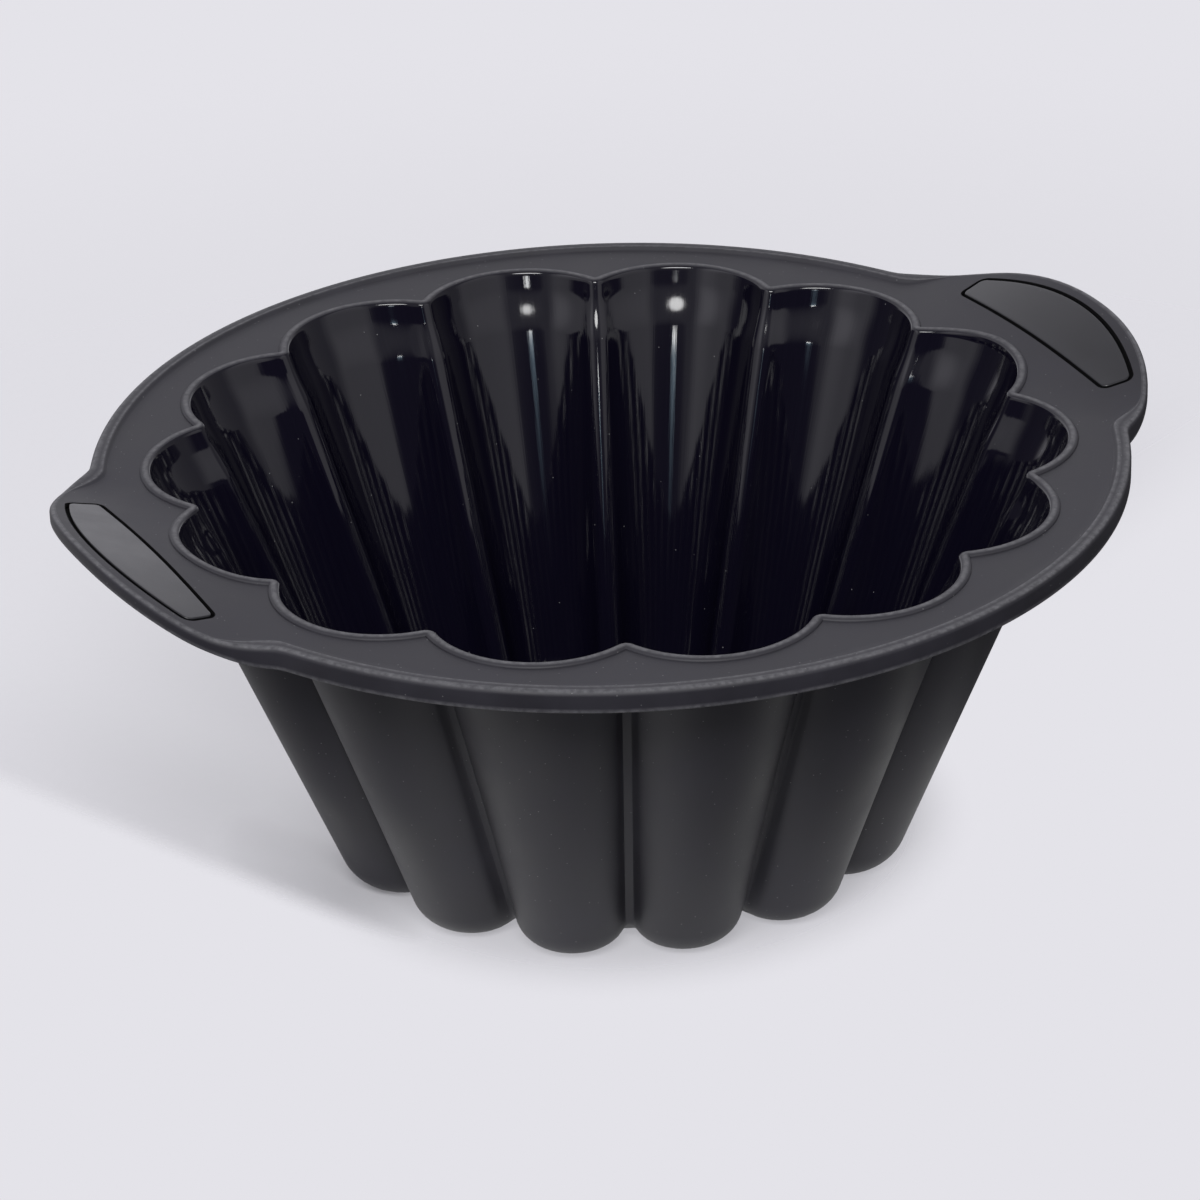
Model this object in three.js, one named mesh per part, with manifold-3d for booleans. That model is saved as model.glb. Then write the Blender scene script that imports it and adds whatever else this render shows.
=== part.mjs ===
// Fluted charlotte mould: a silicone cup with fourteen lobes, a stiffened rim and two handle lugs.
// Millimetres, +Z up. The origin is the centre of the base, on the surface that the mould stands on,
// and the two handles lie along X.

import * as THREE from 'three';
import { mergeVertices } from 'three/addons/utils/BufferGeometryUtils.js';
import Module from 'manifold-3d';

const wasm = await Module();
wasm.setup();

// Cup: level sections of the outside, given at the base plane and at the flange
const LOBE_COUNT = 14;
const FLANGE_HEIGHT = 93.0;
const LOBE_TOP_RADIUS = 102.6;
const LOBE_FOOT_RADIUS = 65.5;
const GROOVE_TOP_DEPTH = 9.0;
const GROOVE_FOOT_DEPTH = 10.1;
const GROOVE_ROUNDING = 1.1;
const WALL = 1.4;
const BASE_THICKNESS = 2.2;
const LOBE_END_ROUNDING = 11.9;
const CORE_SETBACK = 0.9;
const CORE_ROUNDING = 12.4;
const CORE_BLEND = 1.0;

// Flange and the fine bead round the opening
const FLANGE_WIDTH = 12.1;
const FLANGE_THICKNESS = 2.2;
const MOUTH_BEAD_WIDTH = 2.5;
const MOUTH_BEAD_RISE = 0.7;

// Rim: a raised round bead on the edge of the flange, with a lip that hangs below it
const RIM_BEAD_TOP = 1.5;
const RIM_BEAD_SLOPE = 1.0;
const RIM_BEAD_RISE = 0.9;
const RIM_ROUNDING = 1.9;
const RIM_LIP_DEPTH = 4.1;
const RIM_LIP_WIDTH = 4.4;
const RIM_EDGE_ROUNDING = 0.5;

// Handle plates: a straight inner edge, slanted ends and a round outer edge, seen from above
const PLATE_LENGTH = 63.6;
const PLATE_WIDTH = 12.9;
const PLATE_BOW = 6.7;
const PLATE_END_SLANT = 1.4;
const PLATE_ROUNDING = 1.6;
const PLATE_PROUD = 0.3;
const PLATE_DEPTH = 1.8;
const PLATE_EDGE_ROUNDING = 0.4;
const PLATE_FLANGE_REACH = 1.4;
const PLATE_FLANGE_THICKNESS = 0.9;
const SLIT = 0.6;
const CLEARANCE = 0.3;

// Handle lugs: the rim reaches out round the plates at both ends of X and bends upwards there
const LUG_REACH = 11.6;
const LUG_BORDER = 4.1;
const LUG_SHOULDER = 19.3;
const LUG_FULLNESS = 3.0;
const LUG_FOLD_SOFTNESS = 1.0;
const LUG_ROOT = 2.6;
const LUG_EDGE_TOP = 0.5;
const LUG_EDGE_DEPTH = 3.4;
const BEAD_RUN_OUT = 13;
const LIFT_INSET = 26.7;
const LIFT_RUN = 24;
const LIFT_SLOPE = 0.32;
const LIFT_SPREAD = 0.0067;

// Rim wire: a steel ring in a channel of the rim, which drops below the plates in the lugs
const WIRE_DIAMETER = 1.4;
const WIRE_COVER = 0.5;
const PIN_HOLE_DIAMETER = 1.2;
const PIN_HOLE_SPACING = THREE.MathUtils.degToRad(40);
const PIN_HOLES_PER_SIDE = 3;

// How finely the curved surfaces are divided
const HALF_LOBE_SHARES = [0.26, 0.5, 0.72, 0.9, 1];
const MOUTH_BEAD_SHARES = [0, 0.2, 0.5, 0.8, 1];
const FLANGE_SHARES = [0.35, 0.7];
const LIP_SHARES = [0.35, 0.7, 1];
const QUARTER_TURNS = [0, Math.PI / 4, Math.PI / 2];
const FOOT_STEPS = 4;
const PLATE_LENGTH_STEPS = 20;
const PLATE_WIDTH_STEPS = 4;
const WIRE_STEPS = 84;
const WIRE_SIDES = 6;

// Slopes of the cup's wall
const HALF_LOBE = Math.PI / LOBE_COUNT;
const GROOVE_TOP_RADIUS = LOBE_TOP_RADIUS - GROOVE_TOP_DEPTH;
const GROOVE_FOOT_RADIUS = LOBE_FOOT_RADIUS - GROOVE_FOOT_DEPTH;
const CORE_FOOT_RADIUS = GROOVE_FOOT_RADIUS - CORE_SETBACK;
const LOBE_SLOPE = (LOBE_TOP_RADIUS - LOBE_FOOT_RADIUS) / FLANGE_HEIGHT;
const GROOVE_SLOPE = (GROOVE_TOP_RADIUS - GROOVE_FOOT_RADIUS) / FLANGE_HEIGHT;
const FOOT_SWEEP = Math.PI / 2 - Math.atan(LOBE_SLOPE);

// Places on the rim: the plates lie inside the lugs, and the lugs run on past the plates' ends
const RIM_RADIUS = LOBE_TOP_RADIUS + FLANGE_WIDTH;
const PLATE_OUTER = RIM_RADIUS + LUG_REACH - LUG_BORDER;
const PLATE_INNER = PLATE_OUTER - PLATE_WIDTH;
const PLATE_CORNER = PLATE_OUTER - PLATE_BOW;
const PLATE_CORNER_HALF = PLATE_LENGTH / 2;
const PLATE_INNER_HALF = PLATE_CORNER_HALF - PLATE_END_SLANT;
const LUG_HALF_ANGLE = (PLATE_CORNER_HALF + LUG_SHOULDER) / RIM_RADIUS;
const LUG_FULL_ANGLE = LUG_HALF_ANGLE - BEAD_RUN_OUT / RIM_RADIUS;
const LUG_ROOT_RADIUS = PLATE_INNER - PLATE_FLANGE_REACH - CLEARANCE - LUG_ROOT;
const LIFT_START = RIM_RADIUS - LIFT_INSET;

// The wire runs in the middle of the lip, and under the pockets with silicone above and below it
const WIRE_RING_RADIUS = RIM_RADIUS - RIM_LIP_WIDTH / 2;
const WIRE_DEPTH = (RIM_LIP_DEPTH - RIM_BEAD_RISE) / 2;
const CHANNEL_RADIUS = WIRE_DIAMETER / 2 + CLEARANCE;
const WIRE_LUG_DEPTH = PLATE_DEPTH + CLEARANCE + WIRE_COVER + CHANNEL_RADIUS;
const LUG_DEPTH = WIRE_LUG_DEPTH + CHANNEL_RADIUS + WIRE_COVER;

// Smooth step from 0 at the first edge to 1 at the second, in either order
function smoothStep(from, to, value) {
  const share = THREE.MathUtils.clamp((value - from) / (to - from), 0, 1);
  return share * share * (3 - 2 * share);
}

// The larger of two values, with the corner between them rounded
function softMaximum(first, second, softness) {
  return 0.5 * (first + second + Math.hypot(first - second, softness));
}

// How far a rounding between the leaning wall and the base draws in at a height above the base
function footInset(height, rounding) {
  const tangentHeight = rounding * (1 - Math.cos(FOOT_SWEEP));
  if (height >= tangentHeight) {
    return 0;
  }
  const wallLine = rounding * Math.tan(FOOT_SWEEP / 2) + LOBE_SLOPE * height;
  return wallLine - Math.sqrt(rounding ** 2 - (rounding - height) ** 2);
}

// Radius of the fluted cup at an angle and height, at a depth inside the outer skin.
// A level section is a ring of round fingers, joined by small roundings in the grooves between them.
// Near the base the fingers close to round ends, and a plain core fills the space between them.
function cupRadius(angle, height, depth, basePlane) {
  const lobe = LOBE_FOOT_RADIUS + LOBE_SLOPE * height;
  const groove = GROOVE_FOOT_RADIUS + GROOVE_SLOPE * height;
  const outerReach = lobe + GROOVE_ROUNDING;
  const groovePoint = groove + GROOVE_ROUNDING;
  const fingerCentre = (outerReach ** 2 - groovePoint ** 2)
    / (2 * (outerReach - groovePoint * Math.cos(HALF_LOBE)));
  const above = Math.max(height - basePlane, 0);
  const finger = lobe - fingerCentre - depth - footInset(above, LOBE_END_ROUNDING - depth);
  const rounding = Math.max(GROOVE_ROUNDING + depth, 0);

  const turn = Math.abs(THREE.MathUtils.euclideanModulo(angle + HALF_LOBE, 2 * HALF_LOBE) - HALF_LOBE);
  const sideways = fingerCentre * Math.sin(HALF_LOBE);
  const bridge = (finger + rounding) ** 2 - sideways ** 2;
  let skin = 0;
  if (bridge > 0) {
    const point = fingerCentre * Math.cos(HALF_LOBE) + Math.sqrt(bridge);
    const share = finger / (finger + rounding);
    const tangentX = fingerCentre + share * (point * Math.cos(HALF_LOBE) - fingerCentre);
    const tangentY = share * point * Math.sin(HALF_LOBE);
    const across = point * Math.sin(HALF_LOBE - turn);
    if (turn > Math.atan2(tangentY, tangentX) && rounding > Math.abs(across)) {
      skin = point * Math.cos(HALF_LOBE - turn) - Math.sqrt(rounding ** 2 - across ** 2);
    }
  }
  const beside = fingerCentre * Math.sin(turn);
  if (skin === 0 && finger > beside) {
    skin = fingerCentre * Math.cos(turn) + Math.sqrt(finger ** 2 - beside ** 2);
  }
  const core = CORE_FOOT_RADIUS + LOBE_SLOPE * height - depth - footInset(above, CORE_ROUNDING - depth);
  return softMaximum(skin, core, CORE_BLEND);
}

// Angle from the nearer handle's middle, 0 to a right angle
function angleFromHandle(angle) {
  return Math.asin(Math.abs(Math.sin(angle)));
}

// 1 on a lug, 0 on the round part of the rim
function lugShare(angle) {
  return smoothStep(LUG_HALF_ANGLE, LUG_FULL_ANGLE, angleFromHandle(angle));
}

// Outer radius of the rim, with the two lugs
function rimRadius(angle) {
  const share = angleFromHandle(angle) / LUG_HALF_ANGLE;
  const reach = LUG_REACH * (1 - share ** LUG_FULLNESS);
  return RIM_RADIUS + softMaximum(reach, 0, LUG_FOLD_SOFTNESS);
}

// How far the rim is bent up at a point on it
function lift(x, y) {
  const along = Math.abs(x) - LIFT_SPREAD * y * y - LIFT_START;
  if (along <= 0) {
    return 0;
  }
  const bend = LIFT_SLOPE * Math.min(along, LIFT_RUN) ** 2 / (2 * LIFT_RUN);
  return bend + LIFT_SLOPE * Math.max(along - LIFT_RUN, 0);
}

// A point of the rim: radius, angle, and height above the top of the flange before it is bent up
function rimPoint(radius, angle, above) {
  const x = radius * Math.cos(angle);
  const y = radius * Math.sin(angle);
  return [x, y, FLANGE_HEIGHT + above + lift(x, y)];
}

function cupPoint(angle, height, depth, basePlane) {
  const radius = cupRadius(angle, height, depth, basePlane);
  return [radius * Math.cos(angle), radius * Math.sin(angle), height];
}

// A closed surface from a list of triangles on shared points
function surface(points, triangles) {
  const geometry = new THREE.BufferGeometry();
  geometry.setAttribute('position', new THREE.Float32BufferAttribute(points.flat(), 3));
  geometry.setIndex(triangles.flat());
  geometry.computeVertexNormals();
  return geometry;
}

// Triangles between two loops of the same number of points, given by their first indices
function band(first, second, count) {
  const triangles = [];
  for (let i = 0; i < count; i += 1) {
    const next = (i + 1) % count;
    triangles.push([first + i, first + next, second + i]);
    triangles.push([second + i, first + next, second + next]);
  }
  return triangles;
}

// A ready-made shape reduced to shared points, as a closed surface needs
function sharedPoints(geometry) {
  geometry.deleteAttribute('normal');
  geometry.deleteAttribute('uv');
  return mergeVertices(geometry);
}

function solidOf(geometry) {
  const vertProperties = Float32Array.from(geometry.getAttribute('position').array);
  const triVerts = Uint32Array.from(geometry.getIndex().array);
  return new wasm.Manifold(new wasm.Mesh({ numProp: 3, vertProperties, triVerts }));
}

function geometryOf(solid) {
  const mesh = solid.getMesh();
  const geometry = new THREE.BufferGeometry();
  geometry.setAttribute('position', new THREE.Float32BufferAttribute(mesh.vertProperties, 3));
  geometry.setIndex(new THREE.Uint32BufferAttribute(mesh.triVerts, 1));
  geometry.computeVertexNormals();
  return geometry;
}

// Angles of the points on every ring of the cup, closest together at the grooves
function ringAngles() {
  const angles = [];
  for (let lobe = 0; lobe < LOBE_COUNT; lobe += 1) {
    const middle = 2 * HALF_LOBE * lobe;
    const before = HALF_LOBE_SHARES.slice(0, -1).reverse();
    angles.push(...before.map((share) => middle - share * HALF_LOBE));
    angles.push(middle);
    angles.push(...HALF_LOBE_SHARES.map((share) => middle + share * HALF_LOBE));
  }
  return angles;
}

// Heights above a base plane that follow its rounding evenly, with the middle of the straight wall
function wallHeights(basePlane, rounding, top) {
  const heights = [];
  for (let step = 0; step <= FOOT_STEPS; step += 1) {
    heights.push(basePlane + rounding * (1 - Math.cos(FOOT_SWEEP * step / FOOT_STEPS)));
  }
  heights.push((heights[FOOT_STEPS] + top) / 2);
  return heights;
}

// Rings of the moulding's skin in order: up the inside, over the rim and down the outside
function mouldRings() {
  const rings = [];
  const mouthDepth = WALL - MOUTH_BEAD_WIDTH;
  const mouthPoint = (angle, depth, above) =>
    rimPoint(cupRadius(angle, FLANGE_HEIGHT, depth, BASE_THICKNESS), angle, above);

  for (const height of wallHeights(BASE_THICKNESS, LOBE_END_ROUNDING - WALL, FLANGE_HEIGHT)) {
    rings.push((angle) => cupPoint(angle, height, WALL, BASE_THICKNESS));
  }

  // Round bead on the edge of the opening
  for (const share of MOUTH_BEAD_SHARES) {
    const rise = MOUTH_BEAD_RISE * Math.sin(Math.PI * share);
    rings.push((angle) => mouthPoint(angle, WALL - share * MOUTH_BEAD_WIDTH, rise));
  }

  // Flange, from the opening's bead to the foot of the rim's bead, which runs out on the lugs
  const beadFoot = (angle) => {
    const onRim = RIM_RADIUS - RIM_BEAD_TOP;
    const onLug = rimRadius(angle) - LUG_EDGE_TOP;
    return THREE.MathUtils.lerp(onRim, onLug, lugShare(angle)) - RIM_ROUNDING;
  };
  const beadRise = (angle) => RIM_BEAD_RISE * (1 - lugShare(angle));
  for (const share of FLANGE_SHARES) {
    rings.push((angle) => {
      const inner = cupRadius(angle, FLANGE_HEIGHT, mouthDepth, BASE_THICKNESS);
      return rimPoint(THREE.MathUtils.lerp(inner, beadFoot(angle), share), angle, 0);
    });
  }
  rings.push((angle) => rimPoint(beadFoot(angle), angle, 0));
  rings.push((angle) => {
    const outer = rimRadius(angle) - RIM_ROUNDING;
    const top = Math.min(beadFoot(angle) + RIM_BEAD_SLOPE, (beadFoot(angle) + outer) / 2);
    return rimPoint(top, angle, beadRise(angle));
  });

  // Rounded outer edge, lip face and underside of the lip
  for (const turn of QUARTER_TURNS) {
    const inset = RIM_ROUNDING * (1 - Math.sin(turn));
    const drop = RIM_ROUNDING * (1 - Math.cos(turn));
    rings.push((angle) => rimPoint(rimRadius(angle) - inset, angle, beadRise(angle) - drop));
  }
  const lipBottom = (angle) => -THREE.MathUtils.lerp(RIM_LIP_DEPTH, LUG_DEPTH, lugShare(angle));
  const lipInner = (angle) =>
    THREE.MathUtils.lerp(RIM_RADIUS - RIM_LIP_WIDTH, LUG_ROOT_RADIUS, lugShare(angle));
  const edgeBottom = (angle) => -THREE.MathUtils.lerp(RIM_LIP_DEPTH, LUG_EDGE_DEPTH, lugShare(angle));
  rings.push((angle) => rimPoint(rimRadius(angle), angle, edgeBottom(angle) + RIM_EDGE_ROUNDING));
  rings.push((angle) => rimPoint(rimRadius(angle) - RIM_EDGE_ROUNDING, angle, edgeBottom(angle)));
  for (const share of LIP_SHARES) {
    rings.push((angle) => {
      const outer = rimRadius(angle) - RIM_EDGE_ROUNDING;
      return rimPoint(THREE.MathUtils.lerp(outer, lipInner(angle), share), angle, lipBottom(angle));
    });
  }

  // Underside of the flange, then the outside of the cup down to the base
  rings.push((angle) => rimPoint(lipInner(angle), angle, -FLANGE_THICKNESS));
  rings.push((angle) => {
    const outside = cupRadius(angle, FLANGE_HEIGHT - FLANGE_THICKNESS, 0, 0);
    return rimPoint(outside, angle, -FLANGE_THICKNESS);
  });
  const outsideHeights = wallHeights(0, LOBE_END_ROUNDING, FLANGE_HEIGHT - FLANGE_THICKNESS);
  for (const height of outsideHeights.reverse()) {
    rings.push((angle) => cupPoint(angle, height, 0, 0));
  }
  return rings;
}

// The whole silicone moulding as one skin, before the pockets and the wire's channel are cut
function mouldSkin() {
  const angles = ringAngles();
  const count = angles.length;
  const rings = mouldRings();
  const points = rings.flatMap((ring) => angles.map(ring));
  const triangles = [];
  for (let ring = 0; ring + 1 < rings.length; ring += 1) {
    triangles.push(...band((ring + 1) * count, ring * count, count));
  }
  const insideCentre = points.push([0, 0, BASE_THICKNESS]) - 1;
  const outsideCentre = points.push([0, 0, 0]) - 1;
  const lastRing = (rings.length - 1) * count;
  for (let i = 0; i < count; i += 1) {
    const next = (i + 1) % count;
    triangles.push([insideCentre, i, next]);
    triangles.push([outsideCentre, lastRing + next, lastRing + i]);
  }
  return surface(points, triangles);
}

// A ring of round section that runs in the rim at a depth below its top
function rimRing(radius) {
  const points = [];
  const triangles = [];
  for (let step = 0; step < WIRE_STEPS; step += 1) {
    const angle = 2 * Math.PI * step / WIRE_STEPS;
    const depth = THREE.MathUtils.lerp(WIRE_DEPTH, WIRE_LUG_DEPTH, lugShare(angle));
    for (let side = 0; side < WIRE_SIDES; side += 1) {
      const turn = 2 * Math.PI * side / WIRE_SIDES;
      const outwards = radius * Math.cos(turn);
      const upwards = radius * Math.sin(turn);
      const [x, y, z] = rimPoint(WIRE_RING_RADIUS, angle, upwards - depth);
      points.push([x + outwards * Math.cos(angle), y + outwards * Math.sin(angle), z]);
    }
    const following = (step + 1) % WIRE_STEPS;
    triangles.push(...band(following * WIRE_SIDES, step * WIRE_SIDES, WIRE_SIDES));
  }
  return surface(points, triangles);
}

// Holes left in the underside of the lip by the pins that carry the wire while the silicone is moulded
function pinHoles() {
  const holes = [];
  const length = RIM_LIP_DEPTH + RIM_EDGE_ROUNDING - WIRE_DEPTH;
  for (const side of [-1, 1]) {
    for (let pin = 0; pin < PIN_HOLES_PER_SIDE; pin += 1) {
      const turn = (pin - (PIN_HOLES_PER_SIDE - 1) / 2) * PIN_HOLE_SPACING;
      const angle = side * Math.PI / 2 + turn;
      const [x, y, z] = rimPoint(WIRE_RING_RADIUS, angle, -WIRE_DEPTH);
      const radius = PIN_HOLE_DIAMETER / 2;
      const hole = new THREE.CylinderGeometry(radius, radius, length, WIRE_SIDES);
      hole.rotateX(Math.PI / 2);
      hole.translate(x, y, z - length / 2);
      holes.push(solidOf(sharedPoints(hole)));
    }
  }
  return holes;
}

// Straight-line geometry on (u, v) pairs, with u outwards along the handle and v across it
const plus = (first, second, scale) => [first[0] + scale * second[0], first[1] + scale * second[1]];

function unit(vector) {
  const length = Math.hypot(...vector);
  return vector.map((value) => value / length);
}

// The plate's outline from above: points of a frame inside it, each with the way it moves outwards.
// Moving them all by the same distance gives rounded outlines that lie evenly inside one another.
function plateFrame() {
  const bow = PLATE_OUTER - PLATE_CORNER;
  const arcRadius = (PLATE_CORNER_HALF ** 2 + bow ** 2) / (2 * bow);
  const arcCentre = PLATE_OUTER - arcRadius;
  const frameRadius = arcRadius - PLATE_ROUNDING;

  const along = unit([PLATE_CORNER - PLATE_INNER, PLATE_CORNER_HALF - PLATE_INNER_HALF]);
  const endWay = [-along[1], along[0]];
  const onEnd = plus([PLATE_INNER, PLATE_INNER_HALF], endWay, -PLATE_ROUNDING);
  const inner = plus(onEnd, along, (PLATE_INNER + PLATE_ROUNDING - onEnd[0]) / along[0]);
  const fromCentre = plus(onEnd, [arcCentre, 0], -1);
  const sideways = fromCentre[0] * endWay[0] + fromCentre[1] * endWay[1];
  const nearest = fromCentre[0] * along[0] + fromCentre[1] * along[1];
  const outer = plus(onEnd, along, Math.sqrt(frameRadius ** 2 - sideways ** 2) - nearest);

  const innerWay = [-1, 0];
  const outerTurn = Math.atan2(outer[1], outer[0] - arcCentre);
  const outerWay = [Math.cos(outerTurn), Math.sin(outerTurn)];
  const innerCornerWay = unit(plus(innerWay, endWay, 1));
  const outerCornerWay = unit(plus(outerWay, endWay, 1));
  const mirrored = ({ point, way }) => ({ point: [point[0], -point[1]], way: [way[0], -way[1]] });

  const innerSide = [];
  const outerSide = [];
  for (let step = 1; step < PLATE_LENGTH_STEPS; step += 1) {
    const share = 2 * (step - 1) / (PLATE_LENGTH_STEPS - 2) - 1;
    const turn = outerTurn * share;
    const way = [Math.cos(turn), Math.sin(turn)];
    innerSide.push({ point: [inner[0], inner[1] * share], way: innerWay });
    outerSide.push({ point: plus([arcCentre, 0], way, frameRadius), way });
  }
  const innerCorner = { point: inner, way: innerCornerWay };
  const outerCorner = { point: outer, way: outerCornerWay };
  innerSide.unshift(mirrored(innerCorner));
  innerSide.push(innerCorner);
  outerSide.unshift(mirrored(outerCorner));
  outerSide.push(outerCorner);

  const end = [innerCorner];
  for (let step = 1; step < PLATE_WIDTH_STEPS; step += 1) {
    const share = (step - 1) / (PLATE_WIDTH_STEPS - 2);
    end.push({ point: plus(inner, plus(outer, inner, -1), share), way: endWay });
  }
  end.push(outerCorner);
  return { innerSide, outerSide, end, startEnd: end.map(mirrored) };
}

// A patch of points that fills the plate's outline, grown by a distance
function plateGrid(frame, growth) {
  const grown = (side) => side.map(({ point, way }) => plus(point, way, PLATE_ROUNDING + growth));
  const low = grown(frame.innerSide);
  const high = grown(frame.outerSide);
  const start = grown(frame.startEnd);
  const end = grown(frame.end);
  const blend = (first, second, share) => plus(first, plus(second, first, -1), share);
  return low.map((lowPoint, i) => start.map((startPoint, j) => {
    const s = i / PLATE_LENGTH_STEPS;
    const t = j / PLATE_WIDTH_STEPS;
    const across = blend(lowPoint, high[i], t);
    const lengthwise = blend(startPoint, end[j], s);
    const corners = blend(blend(low[0], low.at(-1), s), blend(high[0], high.at(-1), s), t);
    return plus(plus(across, lengthwise, 1), corners, -1);
  }));
}

// A plate-shaped body from layers of growth and height above the lug's top, listed from below
function plateBody(layers) {
  const frame = plateFrame();
  const length = PLATE_LENGTH_STEPS;
  const width = PLATE_WIDTH_STEPS;
  const count = 2 * (length + width);
  const edgeIndex = (i, j) => {
    if (j === 0) {
      return i;
    }
    if (i === length) {
      return length + j;
    }
    if (j === width) {
      return length + width + (length - i);
    }
    return 2 * length + width + (width - j);
  };
  const onEdge = (i, j) => i === 0 || j === 0 || i === length || j === width;
  const place = ([u, v], height) => [u, v, FLANGE_HEIGHT + height + lift(u, v)];

  const points = [];
  const triangles = [];
  layers.forEach(({ growth, height }, layer) => {
    const grid = plateGrid(frame, growth);
    const first = layer * count;
    for (let i = 0; i <= length; i += 1) {
      for (let j = 0; j <= width; j += 1) {
        if (onEdge(i, j)) {
          points[first + edgeIndex(i, j)] = place(grid[i][j], height);
        }
      }
    }
    if (layer > 0) {
      triangles.push(...band(first, first - count, count));
    }
  });

  for (const layer of [0, layers.length - 1]) {
    const { growth, height } = layers[layer];
    const grid = plateGrid(frame, growth);
    const index = grid.map((row, i) => row.map((point, j) => (
      onEdge(i, j) ? layer * count + edgeIndex(i, j) : points.push(place(point, height)) - 1
    )));
    for (let i = 0; i < length; i += 1) {
      for (let j = 0; j < width; j += 1) {
        const [a, b, c, d] = [index[i][j], index[i][j + 1], index[i + 1][j + 1], index[i + 1][j]];
        const upwards = layer > 0;
        triangles.push(upwards ? [a, b, c] : [a, c, b]);
        triangles.push(upwards ? [a, c, d] : [a, d, c]);
      }
    }
  }
  return surface(points, triangles);
}

// The plate: a flange that the silicone holds down, and a body that stands a little proud of the lug
function handlePlate() {
  const flangeTop = PLATE_FLANGE_THICKNESS - PLATE_DEPTH;
  const layers = [
    { growth: PLATE_FLANGE_REACH, height: -PLATE_DEPTH },
    { growth: PLATE_FLANGE_REACH, height: flangeTop },
    { growth: 0, height: flangeTop },
  ];
  for (const turn of QUARTER_TURNS) {
    const inset = PLATE_EDGE_ROUNDING * (1 - Math.cos(turn));
    const drop = PLATE_EDGE_ROUNDING * (1 - Math.sin(turn));
    layers.push({ growth: -inset, height: PLATE_PROUD - drop });
  }
  return plateBody(layers);
}

// The pocket that takes the plate, open at the top through the slit round it
function platePocket() {
  const undercut = PLATE_FLANGE_REACH + CLEARANCE;
  const undercutTop = PLATE_FLANGE_THICKNESS - PLATE_DEPTH + CLEARANCE;
  return plateBody([
    { growth: undercut, height: -PLATE_DEPTH - CLEARANCE },
    { growth: undercut, height: undercutTop },
    { growth: SLIT, height: undercutTop },
    { growth: SLIT, height: PLATE_PROUD + RIM_BEAD_RISE },
  ]);
}

function mouldBody() {
  let body = solidOf(mouldSkin());
  for (const turn of [0, Math.PI]) {
    body = body.subtract(solidOf(platePocket().rotateZ(turn)));
  }
  body = body.subtract(solidOf(rimRing(CHANNEL_RADIUS)));
  for (const hole of pinHoles()) {
    body = body.subtract(hole);
  }
  return geometryOf(body);
}

const silicone = new THREE.MeshStandardMaterial({ color: 0x3c3b41, roughness: 0.55, metalness: 0 });
const hardPlastic = new THREE.MeshStandardMaterial({ color: 0x47464b, roughness: 0.5, metalness: 0 });
const steel = new THREE.MeshStandardMaterial({ color: 0xa8a9ab, roughness: 0.3, metalness: 1 });

function piece(name, geometry, material) {
  const mesh = new THREE.Mesh(geometry, material);
  mesh.name = name;
  return mesh;
}

const mould = new THREE.Group();
mould.add(piece('mould_body', mouldBody(), silicone));
mould.add(piece('rim_wire', rimRing(WIRE_DIAMETER / 2), steel));
mould.add(piece('handle_plate_right', handlePlate(), hardPlastic));
const leftPlate = piece('handle_plate_left', handlePlate(), hardPlastic);
leftPlate.rotation.z = Math.PI;
mould.add(leftPlate);

export default mould;
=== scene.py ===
# %% [markdown]
# # A fluted silicone mould
#
# A charlotte mould is one thin moulding of dark silicone: a tapered cup of round lobes, a flat flange, a
# thick rim, and two lugs with a hard plate set into each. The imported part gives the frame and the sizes.
# This script makes the fine surfaces that the solids only sketch, then the silicone itself, which is matt
# and dusty outside and polished inside.

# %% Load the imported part
import math

import bpy
import numpy as np
from mathutils import Matrix, Vector


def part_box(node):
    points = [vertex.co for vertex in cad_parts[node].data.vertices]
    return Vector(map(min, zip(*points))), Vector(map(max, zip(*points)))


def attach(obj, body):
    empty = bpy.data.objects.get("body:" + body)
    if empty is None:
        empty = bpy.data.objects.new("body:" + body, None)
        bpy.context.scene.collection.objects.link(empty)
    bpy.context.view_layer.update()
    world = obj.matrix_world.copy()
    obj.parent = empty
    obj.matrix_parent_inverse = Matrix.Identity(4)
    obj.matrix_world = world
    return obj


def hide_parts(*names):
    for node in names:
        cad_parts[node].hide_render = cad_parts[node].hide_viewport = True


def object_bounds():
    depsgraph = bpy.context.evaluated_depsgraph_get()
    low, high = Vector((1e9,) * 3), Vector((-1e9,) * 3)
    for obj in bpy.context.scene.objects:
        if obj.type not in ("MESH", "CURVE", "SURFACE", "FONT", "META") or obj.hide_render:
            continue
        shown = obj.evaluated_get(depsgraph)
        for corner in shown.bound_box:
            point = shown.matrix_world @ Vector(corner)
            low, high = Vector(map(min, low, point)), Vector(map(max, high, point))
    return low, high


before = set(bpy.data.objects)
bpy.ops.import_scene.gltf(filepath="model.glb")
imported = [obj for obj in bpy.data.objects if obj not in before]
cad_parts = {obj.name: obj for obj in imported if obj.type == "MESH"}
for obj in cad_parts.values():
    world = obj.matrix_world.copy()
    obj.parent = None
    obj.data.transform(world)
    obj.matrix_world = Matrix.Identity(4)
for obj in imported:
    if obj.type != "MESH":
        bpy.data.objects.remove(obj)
cad_low, cad_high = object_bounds()
print("nodes:", sorted(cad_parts))
print("CAD box in millimetres:", [round(1000 * side, 1) for side in cad_high - cad_low])

# %% [markdown]
# ## Sizes
#
# All lengths are in millimetres, as on a drawing, and only the last step turns them into metres. The rim
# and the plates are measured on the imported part, so that the fine shapes land exactly on the solids. The
# rest are the few sizes that the lobes, the beads and the lugs are worked out from.

# %% Sizes of the cup, the rim and the plates
MM = 0.001

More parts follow.
